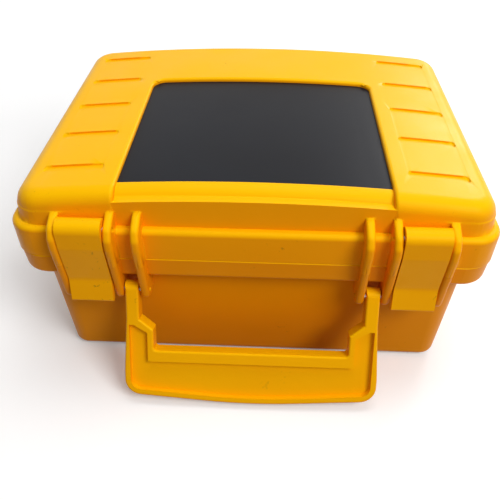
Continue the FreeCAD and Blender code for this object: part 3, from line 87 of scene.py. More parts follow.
class Recipe:
    """Shader nodes of one material, added one after another."""

    def __init__(self, name: str) -> None:
        """Start a material with one principled shader.

        Args:
            name: Name of the material.
        """
        self.material = bpy.data.materials.new(name)
        self.material.use_nodes = True
        self.tree = self.material.node_tree
        self.shader = self.tree.nodes["Principled BSDF"]
        self.point = self.tree.nodes.new("ShaderNodeTexCoord").outputs["Object"]

    def put(self, node: bpy.types.Node, socket: str | int, value: object) -> None:
        """Link a socket to a node's input, or set the input to a plain value.

        Args:
            node: Node that has the input.
            socket: Name or number of the input.
            value: Output socket to link, or a number, colour or vector.
        """
        if isinstance(value, bpy.types.NodeSocket):
            self.tree.links.new(value, node.inputs[socket])
        else:
            node.inputs[socket].default_value = value

    def stretched(self, scale: tuple[float, float, float]) -> bpy.types.NodeSocket:
        """Scale the object's coordinates by a different amount on each axis.

        Args:
            scale: Factors on X, Y and Z.

        Returns:
            The scaled coordinates.
        """
        node = self.tree.nodes.new("ShaderNodeMapping")
        self.put(node, "Vector", self.point)
        self.put(node, "Scale", scale)
        return node.outputs["Vector"]

    def noise(self, scale: float, detail: float = 2.0, point: bpy.types.NodeSocket | None = None,
              distortion: float = 0.0) -> bpy.types.NodeSocket:
        """Add soft noise.

        Args:
            scale: Features to a metre.
            detail: Octaves of smaller features.
            point: Coordinates that it reads, the object's own by default.
            distortion: How far the features are bent.

        Returns:
            The noise, around 0.5.
        """
        node = self.tree.nodes.new("ShaderNodeTexNoise")
        self.put(node, "Vector", point or self.point)
        self.put(node, "Scale", scale)
        self.put(node, "Detail", detail)
        self.put(node, "Distortion", distortion)
        return node.outputs["Fac"]

    def levels(self, value: bpy.types.NodeSocket, low: float, high: float, out_low: float = 0.0,
               out_high: float = 1.0) -> bpy.types.NodeSocket:
        """Stretch a value's range and clamp it.

        Args:
            value: Value to change.
            low: Value that becomes out_low.
            high: Value that becomes out_high.
            out_low: Result at the low end.
            out_high: Result at the high end.

        Returns:
            The stretched value.
        """
        node = self.tree.nodes.new("ShaderNodeMapRange")
        for socket, number in (("Value", value), ("From Min", low), ("From Max", high), ("To Min", out_low),
                               ("To Max", out_high)):
            self.put(node, socket, number)
        return node.outputs["Result"]

    def sum(self, first: object, second: object, how: str = "ADD") -> bpy.types.NodeSocket:
        """Combine two values.

        Args:
            first: First value.
            second: Second value.
            how: Name of the math operation.

        Returns:
            The result.
        """
        node = self.tree.nodes.new("ShaderNodeMath")
        node.operation = how
        self.put(node, 0, first)
        self.put(node, 1, second)
        return node.outputs[0]

    def blend(self, share: bpy.types.NodeSocket, first: object, second: object) -> bpy.types.NodeSocket:
        """Mix two colours.

        Args:
            share: Share of the second colour.
            first: First colour, as a socket or as red, green and blue.
            second: Second colour, likewise.

        Returns:
            The mixed colour.
        """
        node = self.tree.nodes.new("ShaderNodeMix")
        node.data_type = "RGBA"
        self.put(node, "Factor", share)
        for socket, colour in ((6, first), (7, second)):
            self.put(node, socket, (*colour, 1.0) if isinstance(colour, tuple) else colour)
        return node.outputs[2]

    def facing_up(self, low: float, high: float) -> bpy.types.NodeSocket:
        """Tell how far the surface faces up on the standing case. This sets the share of painted highlight, a
        paler yellow that stands in for the light falling on faces turned up.

        Args:
            low: Slope at which the painted highlight starts, as the height of the surface's normal.
            high: Slope at which it is complete.

        Returns:
            Share from 0 to 1.
        """
        split = self.tree.nodes.new("ShaderNodeSeparateXYZ")
        self.put(split, "Vector", self.tree.nodes["Texture Coordinate"].outputs["Normal"])
        return self.levels(split.outputs["Z"], low, high)

    def raise_surface(self, height: bpy.types.NodeSocket, depth: float) -> None:
        """Bump the surface by a height, on top of earlier bumps.

        Args:
            height: Height from 0 to 1.
            depth: Depth of the relief in metres.
        """
        node = self.tree.nodes.new("ShaderNodeBump")
        self.put(node, "Height", height)
        self.put(node, "Distance", depth)
        earlier = self.shader.inputs["Normal"].links
        if earlier:
            self.put(node, "Normal", earlier[0].from_socket)
        self.put(self.shader, "Normal", node.outputs["Normal"])


@dataclass(frozen=True)
class Finish:
    """One finish of the tester: colours, gloss and the grain of its surface. Lengths are in metres."""

    name: str
    colour: tuple[float, float, float]
    second: tuple[float, float, float]
    roughness: float = 0.5
    roughness_swing: float = 0.15
    grain: Grain = Grain.MOULDED
    metallic: float = 0.0
    patch_scale: float = 14.0
    grain_scale: float = 1500.0
    grain_depth: float = 0.00004
    scuffs: float = 0.0
    scuff_colour: tuple[float, float, float] = (0.05, 0.03, 0.01)
    axis: Axis = Axis.Z
    pitch: float = 0.001
    coat: float = 0.0
    glow: float = 0.0
    gloss: float = 0.5
    gloss_tint: tuple[float, float, float] = (1.0, 1.0, 1.0)
    # Painted highlight: paler colour painted on faces turned up, and the slopes over which it comes in
    upward: tuple[float, float, float] | None = None
    upward_slopes: tuple[float, float] = (0.05, 0.8)
    along_stroke: float = 90.0
    across_stroke: float = 4000.0
    coat_roughness: float = 0.15

    def make(self) -> bpy.types.Material:
        """Build the material of this finish.

        Returns:
            The new material.
        """
        recipe = Recipe(self.name)
        shader = recipe.shader
        patches = recipe.levels(recipe.noise(self.patch_scale, 3.0), 0.35, 0.65)
        colour = recipe.blend(patches, self.colour, self.second)
        # Painted highlight: faces turned up get a paler yellow, standing in for the light that falls on them
        if self.upward:
            colour = recipe.blend(recipe.facing_up(*self.upward_slopes), colour, self.upward)
        rough = recipe.levels(recipe.noise(self.patch_scale * 4.0, 4.0), 0.3, 0.7,
                              self.roughness * (1.0 - self.roughness_swing),
                              min(1.0, self.roughness * (1.0 + self.roughness_swing)))
        if self.scuffs:
            colour, rough = self.wear(recipe, colour, rough)
        if self.grain is Grain.CLEAR:
            recipe.put(shader, "Transmission Weight", 0.9)
            recipe.put(shader, "IOR", 1.49)
        if self.grain is Grain.MOULDED:
            recipe.raise_surface(recipe.noise(self.grain_scale, 3.0), self.grain_depth)
        if self.grain is Grain.BRUSHED:
            strokes = [self.along_stroke] * 3
            strokes[self.axis.value] = self.across_stroke
            lines = recipe.noise(1.0, 3.0, recipe.stretched(tuple(strokes)))
            recipe.raise_surface(lines, self.grain_depth)
            rough = recipe.sum(rough, recipe.levels(lines, 0.3, 0.7, -0.08, 0.08))
        if self.grain in (Grain.LAMINATED, Grain.WOUND):
            colour = self.stripes(recipe, colour)
        if self.grain is Grain.BOARD:
            colour = self.tracks(recipe, colour)
        recipe.put(shader, "Base Color", colour)
        recipe.put(shader, "Roughness", rough)
        recipe.put(shader, "Metallic", self.metallic)
        recipe.put(shader, "Specular IOR Level", self.gloss)
        recipe.put(shader, "Specular Tint", (*self.gloss_tint, 1.0))
        recipe.put(shader, "Coat Weight", self.coat)
        if self.coat:
            recipe.put(shader, "Coat Roughness", self.coat_roughness)
        if self.glow:
            recipe.put(shader, "Emission Color", (*self.colour, 1.0))
            recipe.put(shader, "Emission Strength", self.glow)
        return recipe.material

    def wear(self, recipe: Recipe, colour: bpy.types.NodeSocket,
             rough: bpy.types.NodeSocket) -> tuple[bpy.types.NodeSocket, bpy.types.NodeSocket]:
        """Add dark rubbed marks and thin scratches.

        Args:
            recipe: Recipe of the material.
            colour: Colour so far.
            rough: Roughness so far.

        Returns:
            The colour and the roughness with the wear on them.
        """
        worn_areas = recipe.levels(recipe.noise(16.0, 2.0), 0.58, 0.72)
        spots = recipe.levels(recipe.noise(170.0, 4.0, distortion=1.5), 0.66, 0.74)
        strokes = recipe.levels(recipe.noise(1.0, 5.0, recipe.stretched((60.0, 900.0, 500.0)), 0.6), 0.7, 0.76)
        marks = recipe.sum(recipe.sum(spots, strokes, "MAXIMUM"), worn_areas, "MULTIPLY")
        share = recipe.sum(marks, self.scuffs, "MULTIPLY")
        colour = recipe.blend(share, colour, self.scuff_colour)
        rough = recipe.sum(rough, recipe.sum(share, 0.25, "MULTIPLY"))
        return colour, rough

    def stripes(self, recipe: Recipe, colour: bpy.types.NodeSocket) -> bpy.types.NodeSocket:
        """Add the edges of stacked sheets or the turns of a winding.

        Args:
            recipe: Recipe of the material.
            colour: Colour so far.

        Returns:
            The colour with darker seams.
        """
        wave = recipe.tree.nodes.new("ShaderNodeTexWave")
        wave.bands_direction = self.axis.name
        recipe.put(wave, "Vector", recipe.point)
        recipe.put(wave, "Scale", math.pi / 10.0 / self.pitch)
        recipe.put(wave, "Distortion", 0.0)
        seams = recipe.levels(wave.outputs["Fac"], 0.0, 0.45)
        recipe.raise_surface(seams, self.pitch * 0.3)
        dark = tuple(part * 0.45 for part in self.colour)
        return recipe.blend(seams, dark, colour)

    def tracks(self, recipe: Recipe, colour: bpy.types.NodeSocket) -> bpy.types.NodeSocket:
        """Add the copper tracks of a circuit board under its lacquer.

        Args:
            recipe: Recipe of the material.
            colour: Colour so far.

        Returns:
            The colour with lighter tracks.
        """
        brick = recipe.tree.nodes.new("ShaderNodeTexBrick")
        recipe.put(brick, "Vector", recipe.point)
        for socket, value in (("Scale", 90.0), ("Mortar Size", 0.05), ("Brick Width", 0.9), ("Row Height", 0.3),
                              ("Color1", (0.0, 0.0, 0.0, 1.0)), ("Color2", (0.0, 0.0, 0.0, 1.0)),
                              ("Mortar", (1.0, 1.0, 1.0, 1.0))):
            recipe.put(brick, socket, value)
        bright = tuple(min(1.0, part * 2.2) for part in self.colour)
        return recipe.blend(brick.outputs["Fac"], colour, bright)


# Painted highlight: paler yellow painted on the faces that point up, standing in for the light from above. Also
# the tint of the gloss on the yellow mouldings.
PAINTED_TOP_LIGHT = (0.97, 0.50, 0.001)
WARM = (1.0, 0.72, 0.2)
CASE = Finish("case_yellow", (0.93, 0.345, 0.001), (0.90, 0.32, 0.001), roughness=0.38, patch_scale=9.0,
              grain_scale=1300.0, grain_depth=0.00006, scuffs=0.55, gloss=0.12, gloss_tint=WARM, upward=PAINTED_TOP_LIGHT)
# Painted shade: the base shell gets a darker, more orange copy of the case yellow, standing in for the shade on
# the base's faces
BASE_PAINTED_SHADE = replace(CASE, name="base_yellow", colour=(0.86, 0.29, 0.001), second=(0.82, 0.268, 0.001))
LATCH = Finish("latch_yellow", (0.94, 0.39, 0.001), (0.90, 0.35, 0.001), roughness=0.34, patch_scale=22.0,
               grain_scale=1600.0, grain_depth=0.00005, scuffs=0.85, gloss=0.12, gloss_tint=WARM, upward=PAINTED_TOP_LIGHT)
HANDLE = replace(LATCH, name="handle_yellow", roughness=0.35, patch_scale=18.0, grain_scale=1500.0, scuffs=0.75)
LID_PLATE = Finish("plate_black", (0.0045, 0.0045, 0.0065), (0.0065, 0.007, 0.010), roughness=0.40, gloss=0.12,
                   roughness_swing=0.05, grain_scale=2400.0, grain_depth=0.00003, scuffs=0.12,
                   scuff_colour=(0.2, 0.2, 0.2))
PANEL = Finish("panel_grey", (0.030, 0.034, 0.040), (0.038, 0.043, 0.050), roughness=0.55, patch_scale=30.0,
               grain_scale=2200.0, grain_depth=0.00007)
BLACK = Finish("moulded_black", (0.014, 0.014, 0.015), (0.022, 0.022, 0.024), roughness=0.42, patch_scale=40.0,
               grain_scale=2600.0, grain_depth=0.00004)
RUBBER = Finish("rubber_black", (0.012, 0.012, 0.012), (0.02, 0.02, 0.019), roughness=0.8, patch_scale=50.0,
                grain_scale=1800.0, grain_depth=0.00008)
WHITE = Finish("moulded_white", (0.78, 0.78, 0.74), (0.72, 0.72, 0.68), roughness=0.32, patch_scale=35.0,
               grain_scale=2600.0, grain_depth=0.00003)
NYLON = Finish("nylon_cream", (0.72, 0.69, 0.58), (0.66, 0.62, 0.5), roughness=0.5, patch_scale=60.0)
STEEL = Finish("pin_steel", (0.55, 0.55, 0.56), (0.45, 0.45, 0.46), roughness=0.3, grain=Grain.BRUSHED,
               metallic=1.0, patch_scale=80.0, axis=Axis.X, grain_depth=0.00002)
ZINC = Finish("screw_zinc", (0.6, 0.6, 0.58), (0.5, 0.49, 0.44), roughness=0.34, grain=Grain.BRUSHED,
              metallic=1.0, patch_scale=120.0, axis=Axis.Y, grain_depth=0.00002)
BRASS = Finish("plated_brass", (0.83, 0.62, 0.28), (0.72, 0.5, 0.2), roughness=0.24, grain=Grain.BRUSHED,
               metallic=1.0, patch_scale=150.0, axis=Axis.Z, grain_depth=0.00001)
RED = Finish("terminal_red", (0.50, 0.018, 0.012), (0.42, 0.014, 0.01), roughness=0.3, patch_scale=60.0,
             grain_depth=0.00003)
KEY_GREEN = Finish("key_green", (0.03, 0.23, 0.06), (0.025, 0.19, 0.05), roughness=0.55, patch_scale=90.0)
KEY_GREY = Finish("key_grey", (0.22, 0.22, 0.23), (0.18, 0.18, 0.19), roughness=0.55, patch_scale=90.0)
KEY_RED = Finish("key_red", (0.48, 0.02, 0.014), (0.4, 0.016, 0.012), roughness=0.55, patch_scale=90.0)
LAMP = Finish("lamp_amber", (0.75, 0.22, 0.02), (0.65, 0.16, 0.015), roughness=0.12, patch_scale=120.0,
              coat=0.6, grain_depth=0.00001)
WINDOW = Finish("window_clear", (0.86, 0.92, 0.89), (0.84, 0.9, 0.87), roughness=0.06, grain=Grain.CLEAR)
DISPLAY = Finish("display_grey", (0.40, 0.47, 0.34), (0.37, 0.44, 0.315), roughness=0.4, patch_scale=40.0,
                 grain_scale=3000.0, grain_depth=0.00001)
BOARD = Finish("board_green", (0.010, 0.085, 0.022), (0.014, 0.10, 0.03), roughness=0.3, grain=Grain.BOARD,
               patch_scale=40.0, coat=0.4)
RELAY = Finish("relay_blue", (0.02, 0.05, 0.22), (0.025, 0.06, 0.26), roughness=0.28, patch_scale=60.0)
SLEEVE = Finish("capacitor_sleeve", (0.012, 0.014, 0.03), (0.018, 0.02, 0.04), roughness=0.22, patch_scale=90.0)
CORE = Finish("core_sheets", (0.07, 0.07, 0.075), (0.10, 0.095, 0.09), roughness=0.42,
              grain=Grain.LAMINATED, metallic=0.6, axis=Axis.Y, pitch=0.0007)
WINDING = Finish("winding_tape", (0.62, 0.42, 0.08), (0.55, 0.35, 0.06), roughness=0.38, grain=Grain.WOUND,
                 axis=Axis.Z, pitch=0.003)
ALUMINIUM = Finish("cap_aluminium", (0.72, 0.72, 0.73), (0.64, 0.64, 0.65), roughness=0.3, grain=Grain.BRUSHED,
                   metallic=1.0, patch_scale=90.0, axis=Axis.Y, grain_depth=0.00001)
# Painted shade: near-black for thin sheets laid where the screw drives and fuse slots would be recessed
PAINTED_RECESS_SHADE = Finish("drive_recess", (0.012, 0.012, 0.012), (0.02, 0.02, 0.019), roughness=0.7, patch_scale=300.0)
LCD_DARK = Finish("display_dark", (0.015, 0.018, 0.014), (0.022, 0.026, 0.02), roughness=0.4, patch_scale=200.0)
INK = Finish("panel_ink", (0.72, 0.72, 0.70), (0.66, 0.66, 0.64), roughness=0.5, patch_scale=200.0)

DRESS: dict[str, Finish] = {
    "base_shell": BASE_PAINTED_SHADE, "lid_shell": CASE, "latch_left": LATCH, "latch_right": LATCH, "carry_handle": HANDLE,
    "lid_plate": LID_PLATE, "rubber_feet": RUBBER, "lid_gasket": RUBBER, "handle_pins": STEEL,
    "hinge_pins": STEEL, "latch_pins": STEEL, "control_panel": PANEL, "panel_screws": ZINC,
    "mains_outlet": WHITE, "mains_inlet": BLACK, "inlet_pins": BRASS, "selector_knob": BLACK,
    "selector_switch": NYLON, "signal_lamps": LAMP, "key_left": KEY_GREEN, "key_middle": KEY_GREY,
    "key_right": KEY_RED, "fuse_holders": BLACK, "fuse_caps": BLACK, "display_bezel": BLACK,
    "display_window": WINDOW, "display_module": DISPLAY, "key_board": BOARD, "key_switches": BLACK,
    "terminal_shrouds": RED, "terminal_sleeves": BRASS, "board_standoffs": NYLON, "board_screws": ZINC,
    "main_board": BOARD, "relays": RELAY, "capacitors": SLEEVE, "chips": BLACK,
    "transformer_bracket": STEEL, "transformer_core": CORE, "transformer_winding": WINDING,
}


class FinishShelf:
    """Keeps one material for each finish."""

    def __init__(self) -> None:
        """Start with no materials."""
        self.made: dict[str, bpy.types.Material] = {}

    def get(self, finish: Finish) -> bpy.types.Material:
        """Give a finish's material, made the first time it is asked for.

        Args:
            finish: Finish wanted.

        Returns:
            Its material.
        """
        if finish.name not in self.made:
            self.made[finish.name] = finish.make()
        return self.made[finish.name]

    def dress(self, piece: bpy.types.Object, finish: Finish) -> None:
        """Give a piece one finish all over.

        Args:
            piece: Piece to dress.
            finish: Its finish.
        """
        piece.data.materials.clear()
        piece.data.materials.append(self.get(finish))
        log.info("%s is dressed in %s", piece.name, finish.name)


# ---------------------------------------------------------------- pieces

class Bench:
    """Modelling steps by which every small piece is shaped, dressed and hung on its body."""

    smooth_angle = math.radians(35.0)
    merge_distance = 0.01 * MM
    screw_head = 2.2 * MM

    def __init__(self, shelf: FinishShelf) -> None:
        """Keep the shelf of finishes.

        Args:
            shelf: Where the materials come from.
        """
        self.shelf = shelf

    def clear(self) -> None:
        """Leave nothing selected."""
        bpy.ops.object.select_all(action="DESELECT")

    def pick(self, piece: bpy.types.Object) -> None:
        """Select a piece alone and make it active.

        Args:
            piece: Piece to pick.
        """
        self.clear()
        piece.select_set(True)
        bpy.context.view_layer.objects.active = piece

    def discard(self, pieces: list[bpy.types.Object]) -> None:
        """Delete pieces that were only copied from.

        Args:
            pieces: Pieces to delete.
        """
        self.clear()
        for piece in pieces:
            piece.select_set(True)
        bpy.ops.object.delete()

    def top_middle(self, node: str) -> Vector:
        """Find the middle of a node's top.

        Args:
            node: Name of the node.

        Returns:
            The middle of its box's upper face.
        """
        low, high = (Vector(corner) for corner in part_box(node))
        return Vector(((low.x + high.x) / 2.0, (low.y + high.y) / 2.0, high.z))

    def panel_top(self) -> float:
        """Tell the height of the instrument panel's top.

        Returns:
            Its height, a screw head's height under the tops of the screws.
        """
        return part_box("panel_screws")[1][2] - self.screw_head

    def settle(self) -> bpy.types.Object:
        """Move the active piece's place, turn and size into its mesh.

        Returns:
            The piece.
        """
        bpy.ops.object.transform_apply(location=True, rotation=True, scale=True)
        return bpy.context.object

    def block(self, middle: Vector, size: tuple[float, float, float], turn: float = 0.0) -> bpy.types.Object:
        """Add a block.

        Args:
            middle: Its middle.
            size: Its length, width and height.
            turn: Turn about the vertical in radians.

        Returns:
            The block.
        """
        self.clear()
        bpy.ops.mesh.primitive_cube_add(size=1.0, location=middle, rotation=(0.0, 0.0, turn))
        bpy.context.object.scale = size
        return self.settle()

    def disc(self, middle: Vector, radius: float, height: float, corners: int = 64,
             turn: float = 0.0) -> bpy.types.Object:
        """Add a low cylinder or prism.

        Args:
            middle: Its middle.
            radius: Its radius.
            height: Its height.
            corners: Corners of its outline.
            turn: Turn about the vertical in radians.

        Returns:
            The disc.
        """
        self.clear()
        bpy.ops.mesh.primitive_cylinder_add(vertices=corners, radius=radius, depth=height, location=middle,
                                            rotation=(0.0, 0.0, turn))
        return self.settle()

    def edit(self, piece: bpy.types.Object, kind: str, wanted: Callable[[object], bool]) -> None:
        """Open a piece in edit mode with some of its faces or edges selected.

        Args:
            piece: Piece to open.
            kind: FACE or EDGE.
            wanted: Test that a face, or an edge's two points, has to pass.
        """
        self.pick(piece)
        bpy.ops.object.mode_set(mode="EDIT")
        bpy.ops.mesh.select_mode(type=kind)
        bpy.ops.mesh.select_all(action="DESELECT")
        bpy.ops.object.mode_set(mode="OBJECT")
        points = piece.data.vertices
        if kind == "FACE":
            for face in piece.data.polygons:
                face.select = wanted(face)
        else:
            for edge in piece.data.edges:
                edge.select = wanted([points[number].co for number in edge.vertices])
        bpy.ops.object.mode_set(mode="EDIT")

    def close(self) -> None:
        """Leave edit mode."""
        bpy.ops.object.mode_set(mode="OBJECT")

    def soften_top(self, piece: bpy.types.Object, width: float, segments: int = 2) -> None:
        """Bevel the edges round a piece's top.

        Args:
            piece: Piece to soften.
            width: Width of the bevel.
            segments: Steps in its round.
        """
        top = max(point.co.z for point in piece.data.vertices)
        self.edit(piece, "EDGE", lambda ends: all(abs(end.z - top) < 1e-6 for end in ends))
        bpy.ops.mesh.bevel(offset=width, segments=segments, affect="EDGES")
        self.close()

    def twin(self, piece: bpy.types.Object, turn: float = 0.0, about: Vector | None = None,
             shift: Vector | None = None) -> bpy.types.Object:
        """Copy a piece with its own mesh, then turn it about a vertical line and move it.

        Args:
            piece: Piece to copy.
            turn: Turn in radians.
            about: Point on the vertical line, the origin by default.
            shift: How far the copy moves.

        Returns:
            The copy.
        """
        self.pick(piece)
        bpy.ops.object.duplicate(linked=False)
        copy = bpy.context.object
        centre = about or Vector((0.0, 0.0, 0.0))
        place = Matrix.Translation(shift or Vector((0.0, 0.0, 0.0))) @ Matrix.Translation(centre)
        copy.matrix_world = place @ Matrix.Rotation(turn, 4, "Z") @ Matrix.Translation(-centre)
        return self.settle()

    def join(self, pieces: list[bpy.types.Object]) -> bpy.types.Object:
        """Join pieces into the first of them.

        Args:
            pieces: Pieces to join.

        Returns:
            The joined piece.
        """
        self.clear()
        for piece in pieces:
            piece.select_set(True)
        bpy.context.view_layer.objects.active = pieces[0]
        if len(pieces) > 1:
            bpy.ops.object.join()
        return bpy.context.object

    def hang(self, piece: bpy.types.Object, name: str, finish: Finish, body: str) -> None:
        """Name a piece, dress it and let it ride on a body.

        Args:
            piece: Finished piece.
            name: Its name.
            finish: Its finish.
            body: Body that carries it.
        """
        self.pick(piece)
        bpy.ops.object.shade_smooth_by_angle(angle=self.smooth_angle)
        piece.name = name
        piece.data.name = name
        self.shelf.dress(piece, finish)
        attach(piece, body)

    def copy_node(self, node: str) -> bpy.types.Object:
        """Copy a node of the frame and join its loose triangles.

        Args:
            node: Name of the node.

        Returns:
            The copy, on its own mesh.
        """
        copy = bpy.data.objects.new(node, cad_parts[node].data.copy())
        bpy.context.scene.collection.objects.link(copy)
        self.edit(copy, "FACE", lambda face: True)
        bpy.ops.mesh.remove_doubles(threshold=self.merge_distance)
        self.close()
        return copy

    def bisect(self, piece: bpy.types.Object, place: Vector, normal: Vector) -> None:
        """Cut all of a piece's faces along a plane.

        Args:
            piece: Piece to cut.
            place: Point on the plane.
            normal: Direction square to it.
        """
        self.edit(piece, "FACE", lambda face: True)
        bpy.ops.mesh.bisect(plane_co=place, plane_no=normal)
        self.close()

    def even_shading(self, piece: bpy.types.Object) -> None:
        """Let the large faces set the shading, so that flats stay flat up to their rounds.

        Args:
            piece: Piece whose edges are already marked smooth or sharp.
        """
        self.pick(piece)
        bpy.ops.object.modifier_add(type="WEIGHTED_NORMAL")
        piece.modifiers[-1].keep_sharp = True
        bpy.ops.object.modifier_apply(modifier=piece.modifiers[-1].name)

    def figure(self, text: str, middle: Vector, height: float, rise: float) -> bpy.types.Object:
        """Set a number in raised ink.

        Args:
            text: The number.
            middle: Middle of its underside.
            height: Height of the characters.
            rise: How far the ink stands up.

        Returns:
            The number as a mesh.
        """
        self.clear()
        bpy.ops.object.text_add(location=middle)
        line = bpy.context.object
        line.data.body = text
        line.data.align_x = "CENTER"
        line.data.align_y = "CENTER"
        line.data.size = height * 1.4
        line.data.extrude = rise
        line.data.resolution_u = 3
        bpy.ops.object.convert(target="MESH")
        return self.settle()


@dataclass
class BowedLid:
    """The lid and its plate, whose top is bowed gently from end to end, as the real moulding's is."""

    bench: Bench
    crown_radius: float = 1200.0 * MM
    bow_start: float = 117.0 * MM
    bow_full: float = 127.0 * MM
    slice_width: float = 7.0 * MM
    slice_height: float = 2.0 * MM
    groove_first: float = -73.7 * MM
    groove_pitch: float = 38.0 * MM
    groove_reach: float = 2.0 * MM
    groove_depth: float = 2.0 * MM
    groove_inner_end: float = 70.0 * MM
    groove_widening: float = 1.9
    groove_shallowing: float = 0.9

    def make(self) -> None:
        """Bow a copy of the lid's shell, with wide soft grooves, and one of its plate."""
        for node, name, finish in (("lid_shell", "lid_bowed", CASE), ("lid_plate", "plate_bowed", LID_PLATE)):
            piece = self.bench.copy_node(node)
            low, high = (Vector(corner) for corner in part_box(node))
            if node == "lid_shell":
                self.widen_grooves(piece, high.z)
            self.slice(piece, low, high)
            for point in piece.data.vertices:
                point.co.z -= self.drop(point.co)
            self.bench.hang(piece, name, finish, "lid")
            self.bench.even_shading(piece)
            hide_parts(node)

    def widen_grooves(self, piece: bpy.types.Object, top: float) -> None:
        """Spread each groove's sides and lift its floor, before the top is bowed.

        Args:
            piece: Copy of the lid's shell.
            top: Height of its top.
        """
        for point in piece.data.vertices:
            from_first = point.co.y - self.groove_first
            middle = self.groove_first + self.groove_pitch * round(from_first / self.groove_pitch)
            away = point.co.y - middle
            outside = abs(point.co.x) > self.groove_inner_end
            if outside and abs(away) < self.groove_reach and point.co.z > top - self.groove_depth:
                point.co.y = middle + away * self.groove_widening
                point.co.z = top - (top - point.co.z) * self.groove_shallowing

    def slice(self, piece: bpy.types.Object, low: Vector, high: Vector) -> None:
        """Cut a copy into strips, which can follow the bow.

        Args:
            piece: Copy of a part of the lid.
            low: Its lowest corner.
            high: Its highest corner.
        """
        count = math.ceil((high.x - low.x) / self.slice_width)
        for number in range(1, count):
            place = low.x + (high.x - low.x) * number / count
            self.bench.bisect(piece, Vector((place, 0.0, 0.0)), Vector((1.0, 0.0, 0.0)))
        level = max(low.z, self.bow_start)
        while level < self.bow_full:
            self.bench.bisect(piece, Vector((0.0, 0.0, level)), Vector((0.0, 0.0, 1.0)))
            level += self.slice_height

    def drop(self, point: Vector) -> float:
        """Tell how far the bow lowers a point.

        Args:
            point: Point of the flat-topped lid.

        Returns:
            How far it comes down: nothing on the collar, all of the bow on the top.
        """
        share = min(1.0, max(0.0, (point.z - self.bow_start) / (self.bow_full - self.bow_start)))
        return share * share * (3.0 - 2.0 * share) * point.x ** 2 / (2.0 * self.crown_radius)


@dataclass
class SoftenedParts:
    """Moulded parts of the panel with their sharp edges broken, as a mould leaves them."""

    bench: Bench
    width: float = 0.7 * MM
    steps: int = 3
    flat_angle: float = math.radians(1.0)
    sharp_angle: float = math.radians(50.0)
    parts: dict[str, str] = field(default_factory=lambda: {
        "display_bezel": "base", "mains_outlet": "base", "mains_inlet": "base", "fuse_caps": "base",
        "terminal_shrouds": "base", "key_left": "key_left", "key_middle": "key_middle",
        "key_right": "key_right", "selector_knob": "selector"})

    def make(self) -> None:
        """Bevel a copy of each part."""
        for node, body in self.parts.items():
            piece = self.bench.copy_node(node)
            self.bench.edit(piece, "FACE", lambda face: True)
            bpy.ops.mesh.dissolve_limited(angle_limit=self.flat_angle)
            self.bench.close()
            bpy.ops.object.modifier_add(type="BEVEL")
            bevel = piece.modifiers[-1]
            bevel.width = self.width
            bevel.segments = self.steps
            bevel.limit_method = "ANGLE"
            bevel.angle_limit = self.sharp_angle
            bpy.ops.object.modifier_apply(modifier=bevel.name)
            self.bench.hang(piece, f"{node}_softened", DRESS[node], body)
            self.bench.even_shading(piece)
            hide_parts(node)


@dataclass
class LampLenses:
    """Domed lenses of the three signal lamps."""

    bench: Bench
    radius: float = 2.4 * MM
    rise: float = 2.8 * MM

    def make(self) -> None:
        """Model one lens and copy it to every lamp."""
        low, high = (Vector(corner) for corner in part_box("signal_lamps"))
        lens = self.bench.disc(self.bench.top_middle("signal_lamps"), self.radius, self.rise * 2.0, 32)
        self.bench.soften_top(lens, self.radius * 0.7, 6)
        pitch = (high.x - low.x - (high.y - low.y)) / 2.0
        lenses = [lens] + [self.bench.twin(lens, shift=Vector((side * pitch, 0.0, 0.0))) for side in (-1.0, 1.0)]
        self.bench.hang(self.bench.join(lenses), "lamp_lenses", LAMP, "base")


@dataclass
class FuseSlots:
    """Painted shade of the screwdriver slots across the two fuse caps: thin dark sheets laid on the caps where
    the slots would be.
    """

    bench: Bench
    length: float = 10.5 * MM
    width: float = 1.6 * MM
    rise: float = 0.03 * MM
    first_turn: float = math.radians(-20.0)
    second_turn: float = math.radians(65.0)

    def make(self) -> None:
        """Model one dark sheet for a slot's painted shade and copy it to the second cap, turned as the cap was
        left.
        """
        low, high = (Vector(corner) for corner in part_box("fuse_caps"))
        middle = Vector(((low.x + high.x) / 2.0, low.y + (high.x - low.x) / 2.0, high.z + self.rise / 2.0))
        slot = self.bench.block(middle, (self.length, self.width, self.rise), self.first_turn)
        self.bench.edit(slot, "EDGE", lambda ends: abs(ends[0].z - ends[1].z) > self.rise * 0.5)
        bpy.ops.mesh.bevel(offset=self.width * 0.3, segments=3, affect="EDGES")
        self.bench.close()
        pitch = (high.y - low.y) - (high.x - low.x)
        second = self.bench.twin(slot, self.second_turn, middle, Vector((0.0, pitch, 0.0)))
        self.bench.hang(self.bench.join([slot, second]), "fuse_slots", PAINTED_RECESS_SHADE, "base")


